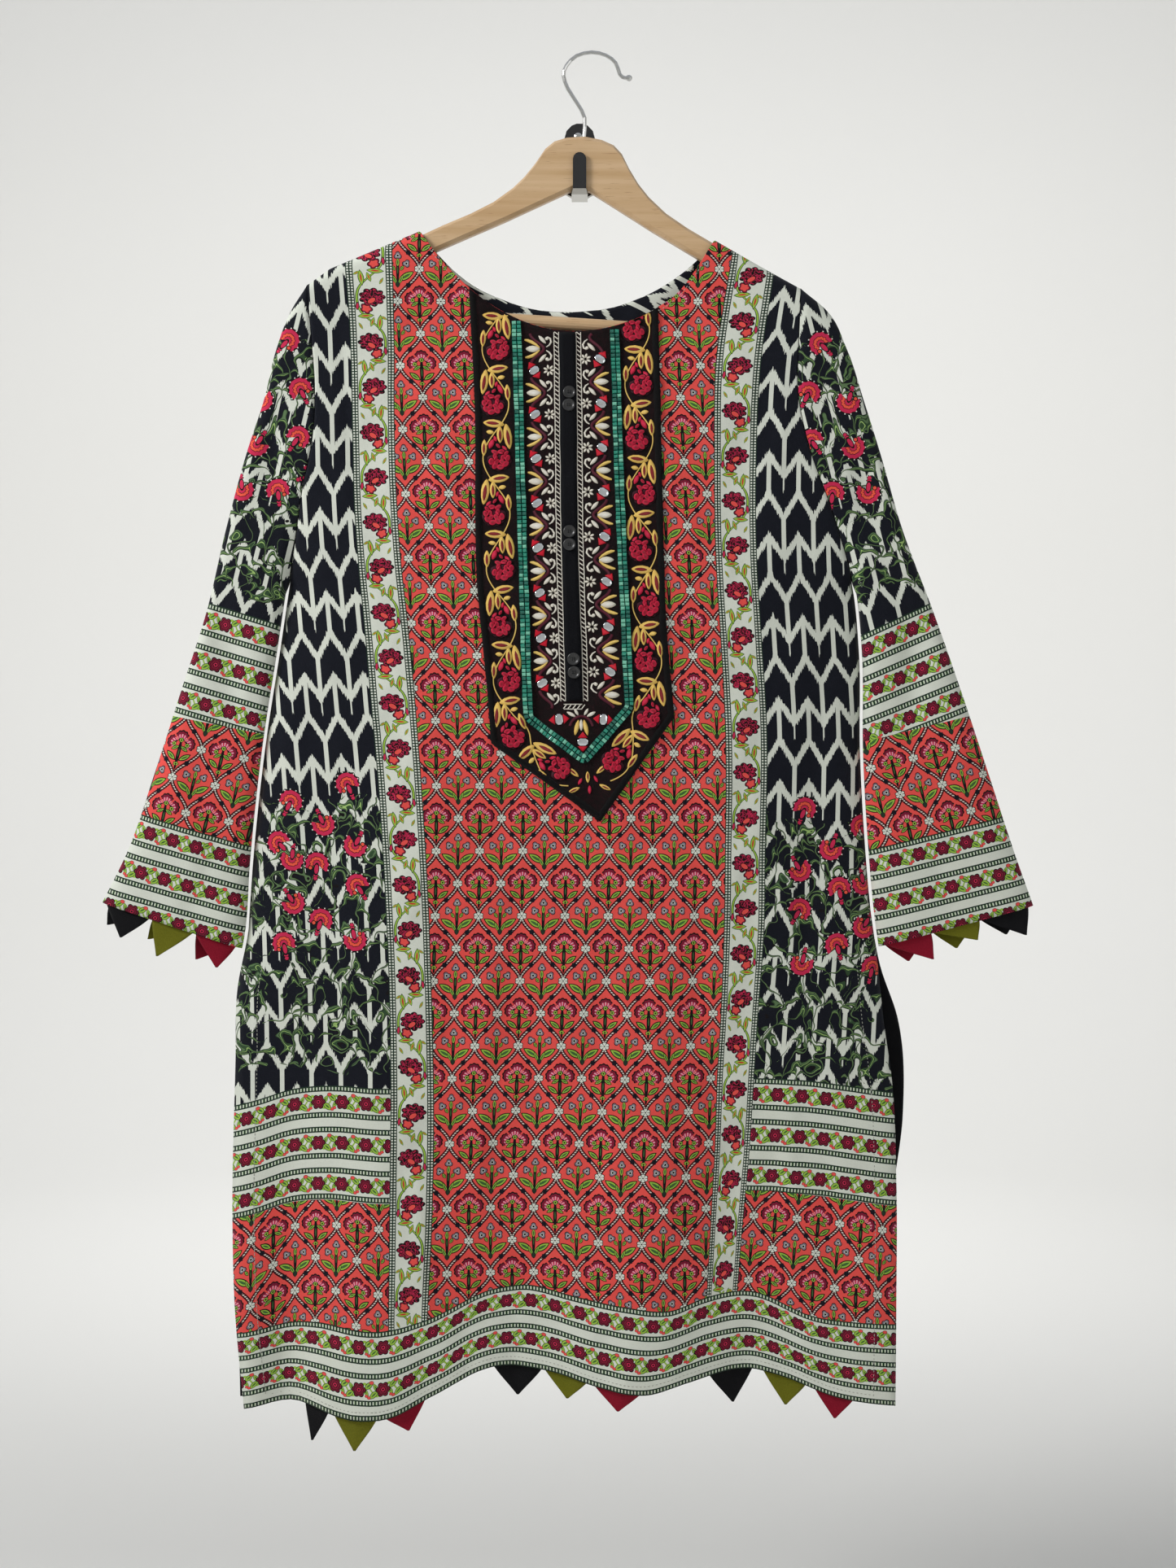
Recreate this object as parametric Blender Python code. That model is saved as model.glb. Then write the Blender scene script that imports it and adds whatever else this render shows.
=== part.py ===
"""A printed cotton kurti on a wooden hanger, which a small wall hook holds.

X runs to the viewer's right, Y into the wall and Z up. The origin is the middle of the wall hook's back
face, on the wall. Every size below is in millimetres, and the meshes are made in metres.
"""

import math

import bmesh
import bpy
import numpy as np

MM = 0.001

# Cloth and seams
WALL = 1.2
TRIM = 1.0
SEAM = 0.4
LAID = 0.5
SHARP = math.radians(50)

# Levels of the body, and how deep it is
UNDERARM = -348.0
SLIT = -650.0
SLIT_OPENS = 70.0
SLIT_PARTS = 5.0
SIDE_Y = -26.0
RIDGE_ROUND = 10.0
HANGER_ROOM = 9.2
ARMHOLE_CLOSES = -215.0
FACING_DEEP, FACING_LEFT, FACING_RIGHT = 40.0, -112.0, 93.0
FACING_COLUMNS, FACING_ROWS = 15, 4

# Where the shoulders and the hanger's top edge run: (x, z), with the neck spanned by a tent
RIDGE = ((-219, -106), (-201, -92.8), (-129.7, -61.9), (-10, -10), (109.5, -69), (146.7, -90.8), (178, -108.5))
NECK_LEFT, NECK_RIGHT = -129.7, 109.5
FRONT_NECK = ((-129.7, -61.9), (-112, -86), (-97, -101.7), (-83.5, -114), (-61.3, -128.4), (-30, -141),
              (1.3, -144), (31.3, -138.8), (61.3, -125.8), (82.2, -110), (97.1, -89.3), (109.5, -69))
BACK_NECK = ((-129.7, -61.9), (-100.4, -93), (-56.7, -117), (-7.2, -124.5), (37.8, -117.4), (86.7, -90.6),
             (109.5, -69))

# Side edges: (z, x), the armhole seam down to the underarm, then the side seam and the slit
LEFT_EDGE = ((-106, -219), (-153, -215), (-190, -212.4), (-236, -215), (-269, -222), (-306, -227.5),
             (-348, -234), (-402, -242), (-473, -253), (-575, -264), (-627, -267.5), (-673, -276),
             (-728, -277), (-859, -279), (-924, -277), (-1010, -269))
RIGHT_EDGE = ((-108.5, 178), (-156, 176), (-194, 175.4), (-235, 183.5), (-290, 203), (-348, 220),
              (-402, 225.6), (-483, 226.5), (-551, 230), (-610, 235), (-656, 241), (-704, 245.5),
              (-744, 251), (-831, 254.6), (-924, 254), (-1007, 253))
BACK_LEFT_EDGE = LEFT_EDGE[:11] + ((-673, -270), (-728, -272), (-859, -275), (-956, -276), (-1010, -275))
BACK_RIGHT_EDGE = RIGHT_EDGE[:10] + ((-656, 243), (-698, 257.5), (-777, 262), (-839, 254.3), (-1007, 250))

# Hem: (x, z)
HEM = ((-269, -1010), (-233, -1005), (-178, -1016), (-153, -1014), (-118, -998), (-72, -977), (-27, -979),
       (18, -990), (53, -994), (87, -986), (138, -979), (167, -986), (201, -999), (253, -1007))
BACK_HEM_SHORTER = 5.0

# How far front and back stand out from the side seams in the middle: (z, depth)
FRONT_DEPTH = ((-60, 9.2), (-145, 9.6), (-240, 14), (-348, 18), (-650, 19), (-1016, 20))
BACK_DEPTH = ((-60, 9.2), (-145, 9.2), (-348, 12), (-1016, 12))

# How the sides round: powers across the panel, which is -1 at its left edge and 1 at its right
CROWN_POWER, ROUND_POWER, HELD_POWER = 2.4, 8, 6
EDGE_BLUNT, SLIT_BLUNT = 0.7, 0.3

# Below the shoulders the middle plane leaves the hanger's for the side seams', and relief fades in
HANGER_UNTIL, HANGER_LEAVES = -110.0, 240.0
RELIEF_FADES_IN = 60.0
SLOPE_STEP = 0.5

# Folds that open towards the hem: (x at top, z at top, x at hem, width, height), a trough's height below 0
FRONT_FOLDS = (
    (-262, -690, -269, 22, 8),
    (-228, -640, -233, 22, -9),
    (-150, -470, -165, 42, 10),
    (-40, -470, -50, 46, -10),
    (45, -480, 50, 44, 11),
    (125, -470, 138, 40, -10),
    (240, -670, 250, 34, 9),
)
BACK_FOLDS = (
    (-190, -500, -205, 34, 4),
    (-110, -460, -118, 38, -4),
    (-20, -520, -15, 46, 5),
    (75, -470, 84, 40, -4),
    (170, -500, 185, 34, 4),
)
FOLDS_END = -1000.0

# Folds that fade at both ends: (x, z) to (x, z), width, height
FRONT_CREASES = (
    (194, -390, 180, -760, 15, -4.5),
    (-206, -400, -216, -690, 18, -4),
    (-196, -190, -150, -330, 20, -3),
    (150, -190, 118, -330, 20, -3),
    (-120, -420, -135, -680, 26, 3),
    (112, -400, 122, -640, 24, 3),
)
BACK_CREASES = (
    (-150, -160, -60, -260, 26, -3),
    (130, -160, 40, -260, 26, -3),
    (-180, -380, -195, -680, 26, -3),
    (165, -380, 178, -680, 26, -3),
)
SLEEVE_CREASES = {
    "left": (
        (-236, -170, -262, -330, 11, -4),
        (-290, -350, -272, -480, 13, -3.5),
        (-330, -480, -300, -600, 14, 3),
    ),
    "right": (
        (203, -145, 192, -235, 7, -5),
        (222, -210, 238, -330, 11, -4),
        (275, -350, 262, -490, 13, -3.5),
    ),
}

# Sleeve rings: (outer x, outer z, inner z, half depth), from the armhole to the cuff
SLEEVES = {
    "left": (
        (-219, -106, -348, 9.2), (-231.5, -125, -355, 10), (-244.5, -158, -366, 10.5), (-254.5, -198, -382, 11),
        (-268, -239, -402, 11.5), (-285.6, -304, -432, 12), (-301.2, -370, -470, 12), (-322.1, -435, -516, 12),
        (-343, -500, -560, 12), (-365.8, -565, -606, 11), (-385.3, -604.4, -641.6, 10),
    ),
    "right": (
        (178, -108.5, -348, 9.2), (198.2, -125, -355, 10), (215.8, -158, -366, 10.5), (229, -198, -381, 11),
        (241.9, -239, -399, 11.5), (260.8, -304, -430, 12), (285.6, -370, -470, 12), (308.4, -435, -514, 12),
        (330, -500, -560, 12), (351.4, -565, -606, 11), (366.4, -607, -640, 10),
    ),
}
SLEEVE_ROUND = 6
SLEEVE_CLEAR = 2.5
CAP_FADES = (1.0, 0.6, 0.3, 0.1)

# The embroidered yoke: (z, x) of its sides, and its pointed bottom edge as (x, z)
YOKE_LEFT = ((-110, -89), (-211, -84), (-353, -81.5), (-426, -74.3), (-476.6, -70.4))
YOKE_RIGHT = ((-124, 63.2), (-338, 67.8), (-382, 69.1), (-455, 75.6))
YOKE_BOTTOM = ((-70.4, -476.6), (16.6, -539.2), (75.6, -455.1))
PLACKET = ((-9.8, -146), (-9.0, -200), (-8.0, -310), (-3.9, -442.7))
PLACKET_WIDTH = 12.5
RIBBON = ((-50.9, -137), (-46, -300), (-41.1, -455.8), (3.9, -489.7), (39.8, -447.9), (33, -300), (28, -143))
RIBBON_WIDTH = 8.0
BAND_STEP = 30.0
YOKE_COLUMNS, YOKE_ROWS = (8, 5), 13
YOKE_LEVEL = -300.0
BUTTONS = ((-8.9, -195), (-8.9, -205.5), (-8.0, -307.5), (-8.0, -318), (-4.6, -409.5), (-4.3, -420))
BUTTON_ACROSS = 10.0
BUTTON_PROFILE = ((1.0, 0.0), (1.0, 1.0), (0.86, 1.7), (0.64, 1.1))
BUTTON_SIDES = 14

# Hem points: (base from x, base to x, tip x, tip z, colour)
HEM_POINTS = (
    (-222, -201, -214.5, -1035.4, "black"),
    (-197, -161, -179.3, -1040.6, "olive"),
    (-155, -122, -136.3, -1024.3, "red"),
    (-69, -30, -49.6, -999.5, "black"),
    (-29, 6, -9.8, -1001, "olive"),
    (10, 49, 30.6, -1008, "red"),
    (104, 139.5, 123.2, -1005.4, "black"),
    (146.7, 182, 165.6, -1008, "olive"),
    (188, 219.7, 204.7, -1017.8, "red"),
)
POINT_HIDDEN = 6.0
POINT_BLUNT = 1.6
POINT_SUNK = 1.0
POINT_COLUMNS = 4

# Cuff points: (side, face, base from, base to, tip x, tip z, colour), the base in shares of the cuff's edge
CUFF_POINTS = (
    ("left", -1, 0.04, 0.35, -369, -632.4, "black"), ("left", -1, 0.37, 0.66, -339.7, -647.4, "olive"),
    ("left", -1, 0.68, 0.96, -292, -656.6, "red"), ("left", 1, 0.04, 0.33, -382.7, -623.3, "black"),
    ("left", 1, 0.35, 0.64, -350, -635, "olive"), ("left", 1, 0.66, 0.94, -311, -651.3, "red"),
    ("right", -1, 0.04, 0.34, 359, -630.5, "black"), ("right", -1, 0.36, 0.65, 319.5, -634.4, "olive"),
    ("right", -1, 0.67, 0.96, 284.3, -650, "red"), ("right", 1, 0.06, 0.34, 346, -631, "black"),
    ("right", 1, 0.36, 0.65, 305.8, -642.2, "olive"), ("right", 1, 0.67, 0.96, 266.7, -652.6, "red"),
)

# Hanger, in its own frame: turned by its tilt about (HANGER_X, 0)
HANGER_X = 3.0
HANGER_TILT = math.radians(-3.8)
HANGER_Y = -21.0
HANGER_SWEEP = 4.0
HANGER_HALF = 180.0
HANGER_THICK = 11.0
HANGER_EDGE = 3.0
ARM_TOP = ((0, 15), (14, 13.2), (24, 9.5), (31, 3), (38, -9), (46, -20.5), (55, -30.5), (70, -43), (88, -53.8),
           (109, -64.5), (126, -74), (149, -87), (150, -87.6), (164, -95.5), (165, -96), (180, -106))
ARM_BOTTOM = ((0, -28.7), (7, -29), (30, -41.5), (60, -58), (88, -72.5), (109, -83.5), (126, -92.5),
              (149, -105), (150, -145), (164, -145), (165, -113), (180, -115))
BAR_Z = -137.0
BAR_Y = -22.0
BAR_RADIUS = 5.5
BAR_HALF = 148.6
BAR_SIDES, SCREW_SIDES = 16, 14
BALL_TURNS = (-50, -20, 10, 40, 70)
WIRE = ((3.5, 15.3), (4.1, 30.8), (-1.6, 42.2), (-9.6, 54.8), (-13.0, 65.2), (-10.8, 73.1), (-2.7, 81.1),
        (9.8, 84.1), (21.3, 81.6), (29.3, 75.4), (32.6, 66.2), (36.1, 63.5), (40.0, 63.2))
WIRE_RADIUS = 1.55
WIRE_BALL = 2.7

# Wall hook: a bent strip of stations (y, z, width) along its middle, and its screw
HOOK_THICK = 2.5
PLATE_TOP, PLATE_BOTTOM, PLATE_WIDTH = 32.6, -25.0, 25.0
HOOK_ARM_Z, HOOK_ARM_WIDTH, HOOK_BEND = -31.2, 13.0, 3.0
TONGUE_Y, TONGUE_TOP, TONGUE_WIDTH = -28.2, 0.6, 10.8
ROUND_END = (0.02, 0.15, 0.5, 1.0)
SCREW_X, SCREW_Z, SCREW_GAP = -1.3, 21.5, 0.3
SCREW_PROFILE = ((3.2, 0), (3.2, 0.5), (1.9, 1.3))

# Grids: shares of the way down from the top edge to the underarm, then even rows to the slit and the hem
TOP_SHARES = (0, 0.005, 0.0145, 0.03, 0.055, 0.12, 0.22, 0.34, 0.47, 0.6, 0.72, 0.83, 0.91, 0.965, 0.99, 1)
MIDDLE_ROWS, LOWER_ROWS = 6, 10
WIRE_STEPS = 2
WIRE_SIDES = 8

# Columns along the top edge: (x, even columns up to it), close together at the seams and the neck points
FRONT_COLUMNS = ((-219, 1), (-207, 1), (-187, 1), (-129.7, 4), (-126.7, 1), (-121, 1), (101, 17), (106.5, 1),
                 (109.5, 1), (146, 2), (166, 1), (178, 1))
BACK_COLUMNS = ((-219, 1), (-207, 1), (-187, 1), (-129.7, 2), (-126.7, 1), (-121, 1), (101, 10), (106.5, 1),
                (109.5, 1), (146, 1), (166, 1), (178, 1))

# Colour, roughness and metallic of each material
FINISHES = {
    "coral": ((0.62, 0.12, 0.09), 0.85, 0.0),
    "ikat": ((0.06, 0.07, 0.11), 0.85, 0.0),
    "yoke_net": ((0.05, 0.04, 0.05), 0.8, 0.0),
    "navy": ((0.02, 0.025, 0.05), 0.8, 0.0),
    "teal": ((0.02, 0.2, 0.22), 0.6, 0.0),
    "black": ((0.012, 0.012, 0.014), 0.85, 0.0),
    "olive": ((0.33, 0.27, 0.03), 0.85, 0.0),
    "red": ((0.42, 0.02, 0.05), 0.85, 0.0),
    "button": ((0.015, 0.015, 0.017), 0.35, 0.0),
    "wood": ((0.62, 0.46, 0.29), 0.5, 0.0),
    "steel": ((0.7, 0.7, 0.7), 0.2, 1.0),
    "hook_black": ((0.02, 0.02, 0.02), 0.45, 0.6),
}


def material(name):
    colour, roughness, metallic = FINISHES[name]
    made = bpy.data.materials.new(name)
    made.use_nodes = True
    shader = made.node_tree.nodes["Principled BSDF"]
    shader.inputs["Base Color"].default_value = (*colour, 1.0)
    shader.inputs["Roughness"].default_value = roughness
    shader.inputs["Metallic"].default_value = metallic
    return made


def hermite(t, start, end, start_slope, end_slope):
    left = start * (1 + 2 * t) * (1 - t) ** 2 + start_slope * t * (1 - t) ** 2
    return left + end * t * t * (3 - 2 * t) - end_slope * t * t * (1 - t)


def curve(table):
    """A smooth function through a table's rows, flat past both ends."""
    at, value = np.array(sorted(table), float).T
    slope = np.gradient(value, at)

    def read(x):
        x = np.clip(x, at[0], at[-1])
        i = np.clip(np.searchsorted(at, x) - 1, 0, len(at) - 2)
        span = at[i + 1] - at[i]
        t = (x - at[i]) / span
        return hermite(t, value[i], value[i + 1], slope[i] * span, slope[i + 1] * span)

    return read


def line(table):
    """A function of straight runs through a table's rows."""
    at, value = np.array(sorted(table), float).T
    return lambda x: np.interp(x, at, value)


def smooth(t):
    t = np.clip(t, 0, 1)
    return t * t * (3 - 2 * t)


ridge = line(RIDGE)
front_neck, back_neck = curve(FRONT_NECK), curve(BACK_NECK)
EDGES = {-1: (curve(LEFT_EDGE), curve(RIGHT_EDGE)), 1: (curve(BACK_LEFT_EDGE), curve(BACK_RIGHT_EDGE))}
DEPTHS = {-1: curve(FRONT_DEPTH), 1: curve(BACK_DEPTH)}
FOLDS = {-1: (FRONT_FOLDS, FRONT_CREASES), 1: (BACK_FOLDS, BACK_CREASES)}
hem = curve(HEM)


def top_edge(x, face):
    """The panel's upper edge: the neckline between the neck points, the shoulder seam outside them."""
    neck = front_neck if face < 0 else back_neck
    return np.where((x > NECK_LEFT) & (x < NECK_RIGHT), neck(x), ridge(x))


def hanger_y(x):
    return HANGER_Y - HANGER_SWEEP * ((x - HANGER_X) / HANGER_HALF) ** 2


def opening_fold(x, z, row):
    x_top, z_top, x_hem, width, height = row
    t = (z_top - z) / (z_top - FOLDS_END)
    return height * smooth(t) * np.exp(-(((x - x_top - (x_hem - x_top) * np.clip(t, 0, 1)) / width) ** 2))


def crease(x, z, row):
    """A soft ridge or trough along a straight run, fading at both ends."""
    x0, z0, x1, z1, width, height = row
    run = math.hypot(x1 - x0, z1 - z0)
    along = ((x - x0) * (x1 - x0) + (z - z0) * (z1 - z0)) / run**2
    across = ((x - x0) * (z1 - z0) - (z - z0) * (x1 - x0)) / run
    return height * np.sin(math.pi * np.clip(along, 0, 1)) * np.exp(-((across / width) ** 2))


def panel_y(x, z, face):
    """Depth of a panel's outer surface. face is -1 for the front and 1 for the back."""
    left, right = EDGES[face]
    side = np.clip(2 * (x - left(z)) / (right(z) - left(z)) - 1, -1, 1)
    free = smooth((SLIT - z) / SLIT_OPENS)
    crown = (1 - np.abs(side) ** CROWN_POWER) ** (EDGE_BLUNT + SLIT_BLUNT * free)
    down = ridge(x) - z
    wrap = np.sqrt(1 - (1 - np.clip(down / RIDGE_ROUND, 0, 1)) ** 2)
    closing = np.clip((ARMHOLE_CLOSES - z) / (ARMHOLE_CLOSES - UNDERARM), 0, 1)
    edge = HANGER_ROOM * np.sqrt(1 - closing**2) + SLIT_PARTS * free
    middle = hanger_y(x) + (SIDE_Y - hanger_y(x)) * smooth((HANGER_UNTIL - z) / HANGER_LEAVES)
    rounded = (1 - np.abs(side) ** ROUND_POWER) ** EDGE_BLUNT
    middle_depth = (DEPTHS[face](z) - HANGER_ROOM) * crown + HANGER_ROOM * rounded
    depth = (edge * (1 - rounded) + middle_depth) * wrap
    held = (1 - np.abs(side) ** HELD_POWER) * (1 - free) + free
    opening, creases = FOLDS[face]
    relief = sum(opening_fold(x, z, row) for row in opening) + sum(crease(x, z, row) for row in creases)
    return middle + face * (depth + relief * held * smooth(down / RELIEF_FADES_IN) + SEAM / 2)


def panel_point(x, z, face, out=0.0):
    """A point on a panel, moved out from its surface."""
    step = SLOPE_STEP
    y = panel_y(x, z, face)
    slope_x = (panel_y(x + step, z, face) - panel_y(x - step, z, face)) / (2 * step)
    slope_z = (panel_y(x, z + step, face) - panel_y(x, z - step, face)) / (2 * step)
    away = np.stack([-face * slope_x, np.full_like(y, face), -face * slope_z], -1)
    away /= np.linalg.norm(away, axis=-1, keepdims=True)
    return np.stack([x, y, z], -1) + away * out


def grid_normals(points, closed):
    """Unit normals of a grid of points. closed joins its last column to its first."""
    across = np.roll(points, -1, 1) - np.roll(points, 1, 1) if closed else np.gradient(points, axis=1)
    normals = np.cross(across, np.gradient(points, axis=0))
    return normals / np.linalg.norm(normals, axis=-1, keepdims=True)


def unit(vectors):
    return vectors / np.linalg.norm(vectors, axis=-1, keepdims=True)


def solid(name, faces, points, finish):
    """One closed body, its points in millimetres."""
    mesh = bpy.data.meshes.new(name)
    mesh.from_pydata((np.asarray(points) * MM).tolist(), [], faces)
    edit = bmesh.new()
    edit.from_mesh(mesh)
    bmesh.ops.triangulate(edit, faces=edit.faces)
    bmesh.ops.recalc_face_normals(edit, faces=edit.faces)
    if edit.calc_volume(signed=True) < 0:
        bmesh.ops.reverse_faces(edit, faces=edit.faces)
    edit.to_mesh(mesh)
    edit.free()
    mesh.shade_smooth()
    mesh.set_sharp_from_angle(angle=SHARP)
    mesh.materials.append(material(finish))
    body = bpy.data.objects.new(name, mesh)
    bpy.context.scene.collection.objects.link(body)
    return body


def wall(name, outer, inner, finish, closed=False):
    """A wall between two grids of points. closed grids go round and join their last column to their first."""
    rows, columns = outer.shape[:2]
    count = rows * columns

    def at(layer, r, c):
        return layer * count + r * columns + c % columns

    faces = []
    for r in range(rows - 1):
        for c in range(columns if closed else columns - 1):
            for layer in (0, 1):
                quad = [at(layer, r, c), at(layer, r, c + 1), at(layer, r + 1, c + 1), at(layer, r + 1, c)]
                faces.append(quad if layer == 0 else quad[::-1])
    for c in range(columns if closed else columns - 1):
        for r in (0, rows - 1):
            faces.append([at(0, r, c), at(0, r, c + 1), at(1, r, c + 1), at(1, r, c)])
    if not closed:
        for r in range(rows - 1):
            for c in (0, columns - 1):
                faces.append([at(0, r, c), at(0, r + 1, c), at(1, r + 1, c), at(1, r, c)])
    points = np.concatenate([outer.reshape(-1, 3), inner.reshape(-1, 3)])
    return solid(name, faces, points, finish)


def capped_tube(name, rings, finish):
    """A solid bar through rings of points, with both ends filled."""
    count = rings.shape[1]
    faces = [list(range(count)), list(range((len(rings) - 1) * count, len(rings) * count))]
    for r in range(len(rings) - 1):
        for c in range(count):
            d = (c + 1) % count
            faces.append([r * count + c, r * count + d, (r + 1) * count + d, (r + 1) * count + c])
    return solid(name, faces, rings.reshape(-1, 3), finish)


def panel_grid(columns, face, lower_rows):
    """x and z of a panel's points: rows from its upper edge to its hem, columns across."""
    left, right = EDGES[face]
    top_x = np.array([columns[0][0]], float)
    for x, count in columns[1:]:
        top_x = np.concatenate([top_x, np.linspace(top_x[-1], x, count + 1)[1:]])
    shares = (top_x - top_x[0]) / (top_x[-1] - top_x[0])
    top = top_edge(top_x, face)
    hem_x = left(FOLDS_END) + (right(FOLDS_END) - left(FOLDS_END)) * shares
    bottom = hem(hem_x) + (BACK_HEM_SHORTER if face > 0 else 0)
    rows = [top + (UNDERARM - top) * share for share in TOP_SHARES]
    rows += [np.full_like(top, z) for z in np.linspace(UNDERARM, SLIT, MIDDLE_ROWS + 1)[1:]]
    rows += [SLIT + (bottom - SLIT) * share for share in np.linspace(0, 1, lower_rows + 1)[1:]]
    z = np.array(rows)
    x = left(z) + (right(z) - left(z)) * shares
    x[0] = top_x
    return x, z


def panel(name, columns, face, lower_rows, finish):
    x, z = panel_grid(columns, face, lower_rows)
    outer = np.stack([x, panel_y(x, z, face), z], -1)
    away = grid_normals(outer, closed=False)
    away *= np.sign(away[..., 1:2] * face)
    armhole = len(TOP_SHARES) - 1
    slit = armhole + MIDDLE_ROWS
    for column, inward in ((0, 1), (-1, -1)):
        away[:armhole, column, 0] = 0
        away[armhole:slit + 1, column] = (-inward, 0, 0)
    shoulder = (x[0] <= NECK_LEFT) | (x[0] >= NECK_RIGHT)
    away[0, shoulder] = (0, 0, 1)
    away[-1, 1:-1, 2] = 0
    inner = outer - WALL * unit(away)
    wall(name, outer, inner, finish)


def ring_shape(share):
    return (1 - np.abs(2 * share - 1) ** SLEEVE_ROUND) ** 0.5


def sleeve_ring(side, number, share, face):
    """A point of a sleeve's ring, at a share of the way from its outer to its inner edge."""
    rows = SLEEVES[side]
    outer_x, outer_z, inner_z, half = rows[number]
    edge = EDGES[-1][0 if side == "left" else 1]
    away = -1 if side == "left" else 1
    armhole_z = rows[0][1] + (rows[0][2] - rows[0][1]) * share
    chord = edge(rows[0][1]) + (edge(rows[0][2]) - edge(rows[0][1])) * share
    bow = edge(armhole_z) - chord
    fade = CAP_FADES[number] if number < len(CAP_FADES) else 0
    if number == 0:
        return np.array([edge(armhole_z) + away * SEAM, panel_y(edge(armhole_z), armhole_z, face), armhole_z])
    inner_x = edge(inner_z) + away * SLEEVE_CLEAR
    x = outer_x + (inner_x - outer_x) * share + bow * fade
    z = outer_z + (inner_z - outer_z) * share
    relief = sum(crease(x, z, row) for row in SLEEVE_CREASES[side]) * ring_shape(share)
    return np.array([x, SIDE_Y + face * (half * ring_shape(share) + relief * (face < 0)), z])


def sleeve(side, finish):
    shares = np.array(TOP_SHARES)
    rings = []
    for number in range(len(SLEEVES[side])):
        front = [sleeve_ring(side, number, share, -1) for share in shares]
        back = [sleeve_ring(side, number, share, 1) for share in shares[-2:0:-1]]
        if number == 0:
            front[0][1] = hanger_y(front[0][0])
            front[-1][1] = SIDE_Y
        rings.append(front + back)
    outer = np.array(rings)
    away = grid_normals(outer, closed=True)
    middle = outer.mean(axis=1, keepdims=True)
    away *= np.sign(((outer - middle) * away).sum(-1, keepdims=True))
    away[0, :, 0] = 0
    inner = outer - WALL * unit(away)
    wall(f"sleeve_{side}", outer, inner, finish, closed=True)


def laid(name, x, z, face, out, thick, finish):
    """A piece that lies on a panel, made from the panel's points moved out."""
    wall(name, panel_point(x, z, face, out + thick), panel_point(x, z, face, out), finish)


def spread(low, high, shares):
    return low + (high - low) * shares


def yoke():
    left, right, bottom = curve(YOKE_LEFT), line(YOKE_RIGHT), line(YOKE_BOTTOM)
    tip = (YOKE_BOTTOM[1][0] - YOKE_BOTTOM[0][0]) / (YOKE_BOTTOM[2][0] - YOKE_BOTTOM[0][0])
    before, after = YOKE_COLUMNS
    across = np.concatenate([np.linspace(0, tip, before), np.linspace(tip, 1, after + 1)[1:]])
    down = np.linspace(0, 1, YOKE_ROWS)[:, None]
    x = spread(left(YOKE_LEVEL), right(YOKE_LEVEL), across)
    z = spread(front_neck(x), bottom(spread(YOKE_BOTTOM[0][0], YOKE_BOTTOM[2][0], across)), down)
    x = spread(left(z), right(z), across)
    z[0] = front_neck(x[0]) - LAID
    laid("yoke_patch", x, z, -1, LAID, TRIM, "yoke_net")


def band(name, route, width, out, finish):
    """A flat band along a route of (x, z) points on the yoke, its corners mitred."""
    dense = []
    for (x0, z0), (x1, z1) in zip(route, route[1:]):
        steps = max(1, round(math.hypot(x1 - x0, z1 - z0) / BAND_STEP))
        dense += [(x0 + (x1 - x0) * i / steps, z0 + (z1 - z0) * i / steps) for i in range(steps)]
    middle = np.array(dense + [route[-1]])
    run = unit(np.diff(middle, axis=0))
    before, after = np.vstack([run[:1], run]), np.vstack([run, run[-1:]])
    aside = unit(before + after)[:, ::-1] * (1, -1)
    aside /= (aside * (after[:, ::-1] * (1, -1))).sum(-1, keepdims=True)
    edges = np.stack([middle - aside * width / 2, middle, middle + aside * width / 2], 1)
    laid(name, edges[..., 0], edges[..., 1], -1, out, TRIM, finish)


def button(number, x, z, out):
    """A turned disc with a raised rim, square to the cloth under it."""
    here = panel_point(np.array(x), np.array(z), -1, out)
    away = unit(panel_point(np.array(x), np.array(z), -1, out + 1) - here)
    across = unit(np.cross(away, (0, 0, 1)))
    upward = np.cross(across, away)
    rings = [[here + away * height + BUTTON_ACROSS / 2 * share * (math.cos(a) * across + math.sin(a) * upward)
              for a in turns(BUTTON_SIDES)] for share, height in BUTTON_PROFILE]
    capped_tube(f"button_{number}", np.array(rings), "button")


def point_piece(name, top, edge, tip, depth, finish):
    """A cloth point: rows from its hidden top to its blunt tip, with thickness along depth."""
    outer = np.array([top, edge, tip])
    wall(name, outer, outer + np.asarray(depth) * TRIM, finish)


def blunt_tip(x, z, edge):
    """A point piece's lowest row, as far back as the middle of its edge and running the same way."""
    half = POINT_BLUNT / 2 * np.sign(edge[-1, 0] - edge[0, 0])
    across = x + half * np.linspace(-1, 1, POINT_COLUMNS)
    return np.stack([across, np.full_like(across, np.mean(edge[:, 1])), np.full_like(across, z)], -1)


def hem_point(number, row):
    x0, x1, tip_x, tip_z, finish = row
    x = np.linspace(x0, x1, POINT_COLUMNS)
    edge_z = hem(x) + POINT_SUNK
    behind = WALL + 2 * LAID
    top = panel_point(x, edge_z + POINT_HIDDEN, -1, -behind)
    edge = panel_point(x, edge_z, -1, -behind)
    tip = blunt_tip(tip_x, tip_z, edge)
    point_piece(f"hem_point_{number}", top, edge, tip, (0, 1, 0), finish)


def cuff_point(number, row):
    side, face, start, end, tip_x, tip_z, finish = row
    last = len(SLEEVES[side]) - 1
    inward = -face * (WALL + LAID)
    shares = np.linspace(start, end, POINT_COLUMNS)
    edge = np.array([sleeve_ring(side, last, share, face) for share in shares])
    above = np.array([sleeve_ring(side, last - 1, share, face) for share in shares])
    edge[:, 1] += inward
    top = edge + unit(above - edge) * POINT_HIDDEN
    top[:, 1] = edge[:, 1] - face * LAID
    tip = blunt_tip(tip_x, tip_z, edge)
    point_piece(f"cuff_{side}_point_{number}", top, edge, tip, (0, -face, 0), finish)


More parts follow.
